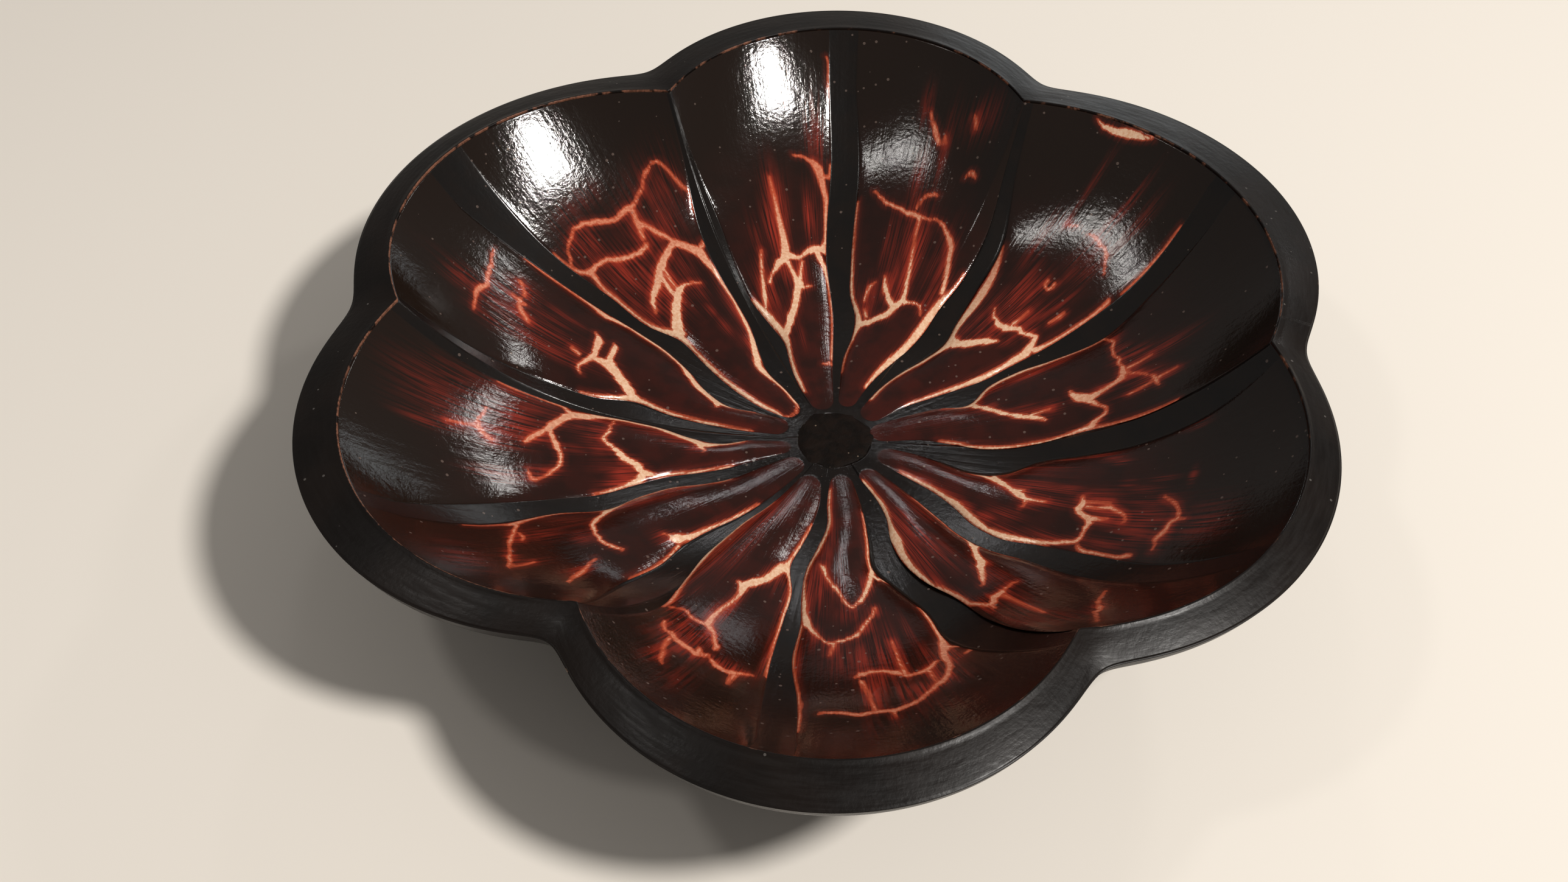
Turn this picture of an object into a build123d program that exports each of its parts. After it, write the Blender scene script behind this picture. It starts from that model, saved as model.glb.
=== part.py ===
from build123d import *

import os
from math import cos, radians, sin

# A flower bowl carved from one block of wood.  Millimetres, +Z up, origin in the
# middle of the flat foot.  Six petals meet in a small round centre, and a plain
# band runs along the rim.  +Y points from the front petal to the back petal.

# ---- driving dimensions -------------------------------------------------------

HEIGHT = 50.0            # foot to the inner edge of the rim
FLOOR = 9.0              # wood under the flower centre
CORNER_RADIUS = 95.0     # bowl axis to the inner corners, where two petals meet
CENTRE_RADIUS = 11.0     # the round centre that the petals grow from

# The carver spaced the corners by eye (degrees, counter-clockwise from +X), and
# some stray outwards or inwards from the corner radius.
CORNER_ANGLES = [58.6, 116.2, 176.9, 236.9, 296.6, 355.0]
CORNER_STRAY = [-0.4, -0.3, 4.1, -1.0, 0.1, -0.2]

# One petal between each corner and the next: its name, how far its crown reaches
# from the bowl axis, and how wide the rim band is there.
PETAL_NAMES = ["petal_back", "petal_back_left", "petal_front_left",
               "petal_front", "petal_front_right", "petal_back_right"]
PETAL_REACH = [114.0, 112.0, 111.0, 113.0, 105.6, 106.4]
RIM_WIDTH = [13.0, 9.0, 10.2, 9.3, 7.5, 12.5]

NOTCH_WIDTH = [9.5, 11.0, 8.5, 6.5, 6.0, 6.0]  # rim band behind each inner corner
NOTCH_FILLET = 14.0      # the outer notches are soft valleys
RIM_DROP = 3.0           # the rim band slopes outwards by this much

FOOT_SHARE = 0.44        # the foot's outline, as a share of the rim's
WALL_FULLNESS = 1.9      # above 1 the outer wall bulges between the foot and the rim
WALL_STEPS = [step / 10 for step in range(11)]  # narrow bands of cuts round the outer wall

# Each petal has two rounded fingers, with a flat-bottomed groove between them and
# one at each side.  The middle groove's place is a share of the way across.
MIDDLE_GROOVE = [0.50, 0.48, 0.45, 0.38, 0.37, 0.46]
FINGER_STEPS = (-1.0, -0.6, -0.2, 0.2, 0.6, 1.0)  # across a finger: where its cuts meet
GROOVE_HALF_ANGLE = 3.3  # half of a groove, seen from the bowl axis
FINGER_RISE = 4.0        # swell of a finger near the centre
FINGER_CREST = 3.6       # and halfway up the wall

# The inner wall is one curve: level at the centre, steep at the rim.
LEVEL_SHARE = 0.50       # how far out the curve is pulled along the floor
BEND_SHARE = 0.78        # where the floor's pull ends
BEND_RISE = 5.1          # and how high it is over the floor there
RIM_SHARE = 1.06         # the cutting curve runs on past the rim
RIM_RISE = 8.0           # to this height over it
TIP_OVERLAP = 3.0        # and starts this far in over the flower centre

LINING = 5.0             # wood between the carving and the body's pocket
POCKET_SIDES = 4         # straight sides of the pocket behind one petal
POCKET_STEPS = (0.3, 0.5, 0.75)  # where along the inner wall's curve the pocket bends
POCKET_LEDGE = 0.02      # share of the width that it steps out under the rim
RIM_OVERLAP = 1.0        # the rim band is carved before its inner edge is cut
AIR_TOP = HEIGHT + 30.0  # everything that is cut away from above reaches this


# ---- outlines -----------------------------------------------------------------

def polar(radius, degrees, z=0.0):
    """A point by its distance from the bowl axis and its direction."""
    return Vector(radius * cos(radians(degrees)), radius * sin(radians(degrees)), z)


def petal_span(index):
    """Directions of the two corners that a petal lies between."""
    start = CORNER_ANGLES[index]
    end = CORNER_ANGLES[(index + 1) % len(CORNER_ANGLES)]
    if end < start:
        end += 360.0
    return start, end


def lobe(index, corners, crown):
    """One petal's arc, from its corner over its crown to the next corner."""
    start, end = petal_span(index)
    following = (index + 1) % len(corners)
    return ThreePointArc(polar(corners[index], start), polar(crown, (start + end) / 2),
                         polar(corners[following], end))


def corner_reaches(outwards=0.0):
    """How far each inner corner lies from the bowl axis."""
    return [CORNER_RADIUS + stray + outwards for stray in CORNER_STRAY]


def lobed_outline(corners, crowns, fillet_radius, z=0.0):
    """Six arcs from corner to corner over their crowns, with the corners rounded."""
    outline = make_face([lobe(index, corners, crown) for index, crown in enumerate(crowns)])
    if fillet_radius > 0:
        outline = fillet(outline.vertices(), fillet_radius)
    return Pos(0, 0, z) * outline.face()


def outer_outline(z, share=1.0):
    """The outer edge of the rim, or the same shape drawn in towards the foot."""
    crowns = [share * (reach + width) for reach, width in zip(PETAL_REACH, RIM_WIDTH)]
    corners = [share * (reach + width) for reach, width in zip(corner_reaches(), NOTCH_WIDTH)]
    return lobed_outline(corners, crowns, share * NOTCH_FILLET, z)


def rim_distance(index, degrees):
    """Distance from the bowl axis to a petal's rim arc in one direction."""
    arc = lobe(index, corner_reaches(), PETAL_REACH[index])
    centre = arc.arc_center
    along = centre.dot(polar(1, degrees))
    return along + (along ** 2 - centre.length ** 2 + arc.radius ** 2) ** 0.5


# ---- the block: outer wall and rim band -----------------------------------------

def block():
    """The carved block before its inside is cut."""
    edge = HEIGHT - RIM_DROP
    rings = []
    for step in WALL_STEPS:
        height = edge * step ** WALL_FULLNESS
        rings.append(outer_outline(height, FOOT_SHARE + (1 - FOOT_SHARE) * step))
    crowns = [reach - RIM_OVERLAP for reach in PETAL_REACH]
    top = lobed_outline(corner_reaches(-RIM_OVERLAP), crowns, NOTCH_FILLET / 4, HEIGHT)
    return loft(rings + [top], ruled=True)


# ---- the inside: a lobed bowl that the fingers swell out of ----------------------

def air_profile(index, degrees, roundness):
    """The air over the carving in the upright plane of one direction.

    roundness is 0 on a groove floor and 1 along the ridge of a finger.
    """
    rim = rim_distance(index, degrees)
    tip = polar(CENTRE_RADIUS - TIP_OVERLAP, degrees, FLOOR)
    level = polar(LEVEL_SHARE * rim, degrees, FLOOR + roundness * FINGER_RISE)
    bend = polar(BEND_SHARE * rim, degrees, FLOOR + BEND_RISE + roundness * FINGER_CREST)
    top = polar(RIM_SHARE * rim, degrees, HEIGHT + RIM_RISE)
    over_top = Vector(top.X, top.Y, AIR_TOP)
    over_tip = Vector(tip.X, tip.Y, AIR_TOP)
    carving = Bezier(tip, level, bend, top)
    return make_face([carving, Line(top, over_top), Line(over_top, over_tip), Line(over_tip, tip)])


def air_over_petal(index):
    """The air over one petal: groove, finger, groove, finger, groove."""
    start, end = petal_span(index)
    groove = start + MIDDLE_GROOVE[index] * (end - start)
    profiles = [air_profile(index, start, 0)]
    for low, high in ((start, groove), (groove, end)):
        ridge = (low + high) / 2
        reach = (high - low) / 2 - GROOVE_HALF_ANGLE
        for across in FINGER_STEPS:
            profiles.append(air_profile(index, ridge + across * reach, 1 - across ** 2))
    profiles.append(air_profile(index, end, 0))
    return loft(profiles, ruled=True)


# ---- the pieces --------------------------------------------------------------------

def lining_ring(share, height):
    """Corners of a level outline of the pocket, straight-sided where no one sees it."""
    corners = []
    for index in range(len(PETAL_NAMES)):
        start, end = petal_span(index)
        for side in range(POCKET_SIDES):
            degrees = start + (end - start) * side / POCKET_SIDES
            corners.append(polar(share * rim_distance(index, degrees), degrees, height))
    return corners


def flat_sided(rings):
    """A solid with flat sides between level rings that are scaled copies of each other."""
    faces = [make_face(Polyline(rings[0], close=True)), make_face(Polyline(rings[-1], close=True))]
    for low, high in zip(rings, rings[1:]):
        for side in range(len(low)):
            following = (side + 1) % len(low)
            corners = [low[side], low[following], high[following], high[side]]
            faces.append(make_face(Polyline(corners, close=True)))
    return Solid(Shell([piece.face() for piece in faces]))


def wall_place(along):
    """Share of the way to the rim, and height, at a place along the inner wall's curve."""
    rest = 1 - along
    share = (3 * rest ** 2 * along * LEVEL_SHARE + 3 * rest * along ** 2 * BEND_SHARE
             + along ** 3 * RIM_SHARE)
    height = FLOOR + 3 * rest * along ** 2 * BEND_RISE + along ** 3 * (HEIGHT + RIM_RISE - FLOOR)
    return share, height


def pocket():
    """The room inside the lacquered body for the petals and the centre."""
    rings = []
    for along in POCKET_STEPS:
        share, height = wall_place(along)
        rings.append(lining_ring(share, height - LINING))
    rings.append(lining_ring(1.0 + POCKET_LEDGE, HEIGHT - LINING))
    lower = flat_sided(rings)
    rim = lobed_outline(corner_reaches(), PETAL_REACH, 0, HEIGHT - LINING)
    return extrude(rim, AIR_TOP - HEIGHT + LINING) + lower


def wedge(index):
    """The upright slice of space that one petal lies in."""
    start, end = petal_span(index)
    far = 2 * CORNER_RADIUS
    slice_outline = Polyline((0, 0, 0), polar(far, start), polar(far, (start + end) / 2),
                             polar(far, end), close=True)
    return extrude(make_face(slice_outline), AIR_TOP)


def petal(index, inside):
    """One petal with its fingers, from the centre to the rim."""
    return (inside & wedge(index)) - centre_column(AIR_TOP) - air_over_petal(index)


def centre_column(height):
    """The middle of the flower: two sides for each petal, one for each of its fingers."""
    sides = 2 * len(PETAL_NAMES)
    outline = RegularPolygon(CENTRE_RADIUS, sides, rotation=CORNER_ANGLES[0])
    return extrude(outline.face(), height)


def flower_centre(inside):
    """The centre is cut level with the groove floors."""
    return inside & centre_column(FLOOR)


def main():
    """Write every node of the bowl to its own file."""
    os.makedirs("parts", exist_ok=True)
    whole = block()
    room = pocket()
    inside = whole & room
    nodes = {"bowl_body": whole - room, "flower_centre": flower_centre(inside)}
    for index, name in enumerate(PETAL_NAMES):
        nodes[name] = petal(index, inside)
    for name, solid in nodes.items():
        solid.label = name
        export_step(solid, "parts/" + name + ".step")
        print(name, round(solid.volume), "mm3")


main()
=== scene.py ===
# %% [markdown]
# # A carved flower bowl in lacquered wood
# The bowl is one block of wood.  A carver cut six petals into it, each with two
# rounded fingers, and then it was lacquered: plain black on the rim and the
# outside, and a veined brown over tan inside.  This lesson dresses the packed
# solids of that bowl.  It works in metres and in the solids' own frame, so a
# piece is put where its solid is and nothing has to be fitted afterwards.

# %% Load the solids
import math

import bmesh
import bpy
import numpy as np
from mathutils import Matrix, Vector


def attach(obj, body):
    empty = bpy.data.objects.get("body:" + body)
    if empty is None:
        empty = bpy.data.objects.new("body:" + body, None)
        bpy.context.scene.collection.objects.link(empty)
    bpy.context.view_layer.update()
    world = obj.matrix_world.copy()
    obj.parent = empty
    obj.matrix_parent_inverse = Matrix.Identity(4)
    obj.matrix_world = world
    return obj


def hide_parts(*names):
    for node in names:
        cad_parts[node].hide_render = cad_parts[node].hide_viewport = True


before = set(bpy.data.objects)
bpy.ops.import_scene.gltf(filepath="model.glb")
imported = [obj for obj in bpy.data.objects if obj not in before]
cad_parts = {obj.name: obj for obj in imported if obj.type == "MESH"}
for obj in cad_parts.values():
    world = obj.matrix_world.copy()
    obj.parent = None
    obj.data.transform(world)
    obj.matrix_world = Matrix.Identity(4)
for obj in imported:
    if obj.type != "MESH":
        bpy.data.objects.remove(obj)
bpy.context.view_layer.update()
print("solids:", sorted(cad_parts))

# %% [markdown]
# ## The plan of the bowl
# Everything is drawn round the bowl's axis, as a turner thinks of it: a point
# has a direction in degrees, counter-clockwise from +X, and a distance.  The
# lengths are written in millimetres because that is how a carver measures, and
# only the last step of each piece turns them into metres.

# %% Corners and crowns of the six petals
MM = 0.001
FLOOR = 9.0
CORNER_ANGLE = [58.6, 116.2, 176.9, 236.9, 296.6, 355.0]
CORNER_REACH = [94.6, 94.7, 99.1, 94.0, 95.1, 94.8]
PETALS = ["petal_back", "petal_back_left", "petal_front_left",
          "petal_front", "petal_front_right", "petal_back_right"]
PETAL_REACH = [114.0, 112.0, 111.0, 113.0, 105.6, 106.4]
RIM_REACH = [127.0, 120.8, 120.7, 122.2, 113.0, 118.8]
NOTCH_REACH = [106.0, 107.5, 109.0, 101.8, 102.5, 101.8]


def arc_through(start, crown, end):
    """Centre and radius of the circle through three points of the plan."""
    a, b, c = Vector(start), Vector(crown), Vector(end)
    ab, ac = b - a, c - a
    cross = 2 * (ab.x * ac.y - ab.y * ac.x)
    x = (ac.y * ab.length_squared - ab.y * ac.length_squared) / cross
    y = (ab.x * ac.length_squared - ac.x * ab.length_squared) / cross
    centre = a + Vector((x, y))
    return np.array(centre), (a - centre).length


def plan_point(degrees, reach):
    return (reach * math.cos(math.radians(degrees)), reach * math.sin(math.radians(degrees)))


def petal_span(petal):
    """The directions of a petal's two corners, counted on past 360."""
    return CORNER_ANGLE[petal], CORNER_ANGLE[(petal + 1) % 6] + (360 if petal == 5 else 0)


def lobes(corner_reach, crown_reach):
    """One arc per petal, from corner to corner over its crown."""
    arcs = []
    for i in range(6):
        start, end = petal_span(i)
        arcs.append(arc_through(plan_point(start, corner_reach[i]),
                                plan_point((start + end) / 2, crown_reach[i]),
                                plan_point(end, corner_reach[(i + 1) % 6])))
    return arcs


def reach_of(arc, degrees):
    """How far from the axis an arc lies in each direction."""
    (cx, cy), radius = arc
    along = np.cos(np.radians(degrees)) * cx + np.sin(np.radians(degrees)) * cy
    return along + np.sqrt(np.maximum(along ** 2 - cx ** 2 - cy ** 2 + radius ** 2, 0))


PETAL_ARC = lobes(CORNER_REACH, PETAL_REACH)
OUTER_ARC = lobes(NOTCH_REACH, RIM_REACH)
print("petal arcs, radius in mm:", [round(arc[1], 1) for arc in PETAL_ARC])

# %% [markdown]
# ## The fingers
# Each petal has two fingers.  They weren't drawn with a ruler: they lean, pinch
# in halfway up the wall and end in a rounded tip near the middle.  A finger is
# given here by its two edges, as directions at ten distances from the axis, and
# a smooth curve runs through them.  What lies between two fingers is a groove.

# %% Edges of the twelve fingers
EDGE_AT = [13, 20, 27, 34, 41, 49, 58, 70, 84, 104]
FINGERS = [
    # petal_back
    ([66, 64.0, 60.6, 57.0, 55.8, 56.0, 55.0, 55.2, 57.4, 59.0],
     [84.0, 84.4, 83.9, 81.5, 81.2, 83.9, 84.5, 84.6, 84.4, 85.9]),
    ([90.6, 90.4, 90.0, 89.6, 89.5, 90.2, 91.0, 90.7, 89.8, 90.0],
     [115.0, 114.8, 112.7, 110.4, 112.4, 114.6, 114.6, 114.2, 115.2, 115.9]),
    # petal_back_left
    ([127.5, 126.0, 126.5, 123.1, 120.1, 119.3, 119.5, 119.2, 117.2, 116.6],
     [148.2, 149.4, 147.4, 144.9, 142.5, 140.7, 143.2, 143.6, 145.3, 146.0]),
    ([152.0, 155.0, 158.2, 155.0, 149.8, 147.0, 146.7, 147.8, 149.3, 152.3],
     [173.0, 173.2, 172.5, 171.8, 170.7, 169.0, 171.6, 172.5, 174.0, 176.2]),
    # petal_front_left
    ([183.2, 181.9, 184.3, 181.6, 178.3, 177.4, 177.9, 178.2, 178.6, 178.4],
     [200.0, 200.2, 200.5, 199.6, 198.7, 199.8, 201.5, 201.9, 203.3, 206.8]),
    ([208.0, 208.0, 208.3, 206.3, 204.0, 204.4, 206.5, 205.8, 207.9, 209.5],
     # from about 60 to 90 mm out these edges and the front petal's first low edges lie far apart,
     # so the black groove between them also covers painted shade of the valley side
     [232.0, 231.0, 229.8, 228.0, 225.9, 225.4, 227.4, 227.9, 231.9, 236.2]),
    # petal_front
    ([236.0, 235.2, 233.8, 231.9, 232.0, 232.8, 235.2, 238.2, 238.1, 237.5],
     [255.0, 258.8, 258.2, 256.3, 254.8, 257.5, 257.7, 257.9, 258.8, 260.4]),
    ([264.8, 264.3, 265.5, 262.7, 260.3, 260.4, 261.6, 261.5, 263.5, 264.6],
     [285.5, 285.1, 283.5, 281.7, 280.2, 284.3, 287.7, 288.0, 292.4, 296.0]),
    # petal_front_right
    ([294.0, 295.7, 294.4, 290.5, 289.7, 291.3, 294.5, 295.1, 296.0, 297.2],
     [313.0, 313.3, 313.0, 312.0, 311.1, 311.9, 314.4, 315.0, 316.2, 319.0]),
    ([325.0, 323.9, 323.2, 321.1, 318.0, 317.6, 320.4, 321.7, 321.2, 322.4],
     [346.3, 344.7, 341.2, 339.2, 341.0, 346.8, 348.2, 348.6, 349.8, 354.2]),
    # petal_back_right
    ([357.5, 359.0, 356.0, 352.8, 352.6, 353.8, 355.4, 354.7, 355.1, 355.6],
     [384.0, 382.4, 380.6, 377.1, 382.1, 383.1, 381.6, 379.9, 381.8, 384.2]),
    ([390.5, 391.6, 389.3, 387.4, 386.1, 386.3, 386.0, 385.9, 386.0, 388.4],
     [416.0, 415.2, 412.2, 408.6, 406.9, 409.0, 410.4, 411.2, 415.3, 418.0]),
]
# mm from the axis at which each finger's tip ends
TIP_AT = [11.4, 10.3, 12.2, 11.9, 10.9, 10.7, 13.2, 11.8, 12.1, 11.5, 9.0, 10.2]


def smooth_through(points, values, where):
    """A smooth curve through the values, without overshoot between them."""
    points, values = np.array(points, float), np.array(values, float)
    slope = np.gradient(values, points)
    step = np.clip(np.searchsorted(points, where) - 1, 0, len(points) - 2)
    width = points[step + 1] - points[step]
    t = np.clip((where - points[step]) / width, 0, 1)
    rise = values[step + 1] - values[step]
    start, end = slope[step] * width, slope[step + 1] * width
    return (values[step] + start * t + (3 * rise - 2 * start - end) * t ** 2
            + (start + end - 2 * rise) * t ** 3)


def finger_edge(finger, side, distance):
    return smooth_through(EDGE_AT, FINGERS[finger][side], distance)


print("finger widths halfway up, in mm:",
      [round(math.radians(high[4] - low[4]) * EDGE_AT[4], 1) for low, high in FINGERS])

# %% [markdown]
# ## The hollow
# Every upright cut through the hollow is the same kind of curve: level at the
# centre, then bending up to a steep wall under the rim.  A Bezier curve of four
# points says that in a few numbers.  A finger lifts the two middle points, and a
# groove leaves them where they are, so the swell fades out by itself at the rim.

# %% The curve of the hollow
START_DISTANCE, TOP_HEIGHT = 8.0, 58.0    # mm: the first point is level with FLOOR
LEVEL_SHARE, BEND_SHARE, TOP_SHARE = 0.50, 0.78, 1.06    # of the distance to the rim
BEND_RISE = 5.1                           # mm that the third point is above FLOOR
LEVEL_SWELL, BEND_SWELL = 4.0, 3.6        # mm that a finger lifts the middle points
WALL_TOP = 49.45                          # mm: the carving ends here, under the rim
HALVINGS = 30


def hollow_curve(along, rim, swell):
    """Distance and height on the curve: along is 0 at the centre and 1 past the rim."""
    left = 1 - along
    a, b, c, d = left ** 3, 3 * along * left ** 2, 3 * along ** 2 * left, along ** 3
    distance = (START_DISTANCE * a + LEVEL_SHARE * rim * b + BEND_SHARE * rim * c
                + TOP_SHARE * rim * d)
    height = (FLOOR * a + (FLOOR + LEVEL_SWELL * swell) * b
              + (FLOOR + BEND_RISE + BEND_SWELL * swell) * c + TOP_HEIGHT * d)
    return distance, height


def rim_end(rim, height):
    """Where along the curve the wall reaches a height, with no swell."""
    low, high = np.zeros_like(rim), np.ones_like(rim)
    for _ in range(HALVINGS):
        middle = (low + high) / 2
        under = hollow_curve(middle, rim, 0.0)[1] < height
        low, high = np.where(under, middle, low), np.where(under, high, middle)
    return low


print("the carving ends at", round(float(rim_end(np.array([100.0]), WALL_TOP)[0]), 3),
      "of the curve")

# %% [markdown]
# ## The veins
# Pale wood shows through the brown lacquer along the edges of the fingers and in
# a few branching veins that cross them.  A picture would go soft when you come
# close, so the veins are kept as lines instead: direction, distance and width at
# a few points.  Each petal stores how far every vertex is from the nearest vein,
# and the material turns that distance into a sharp edge with a ragged outline.

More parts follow.
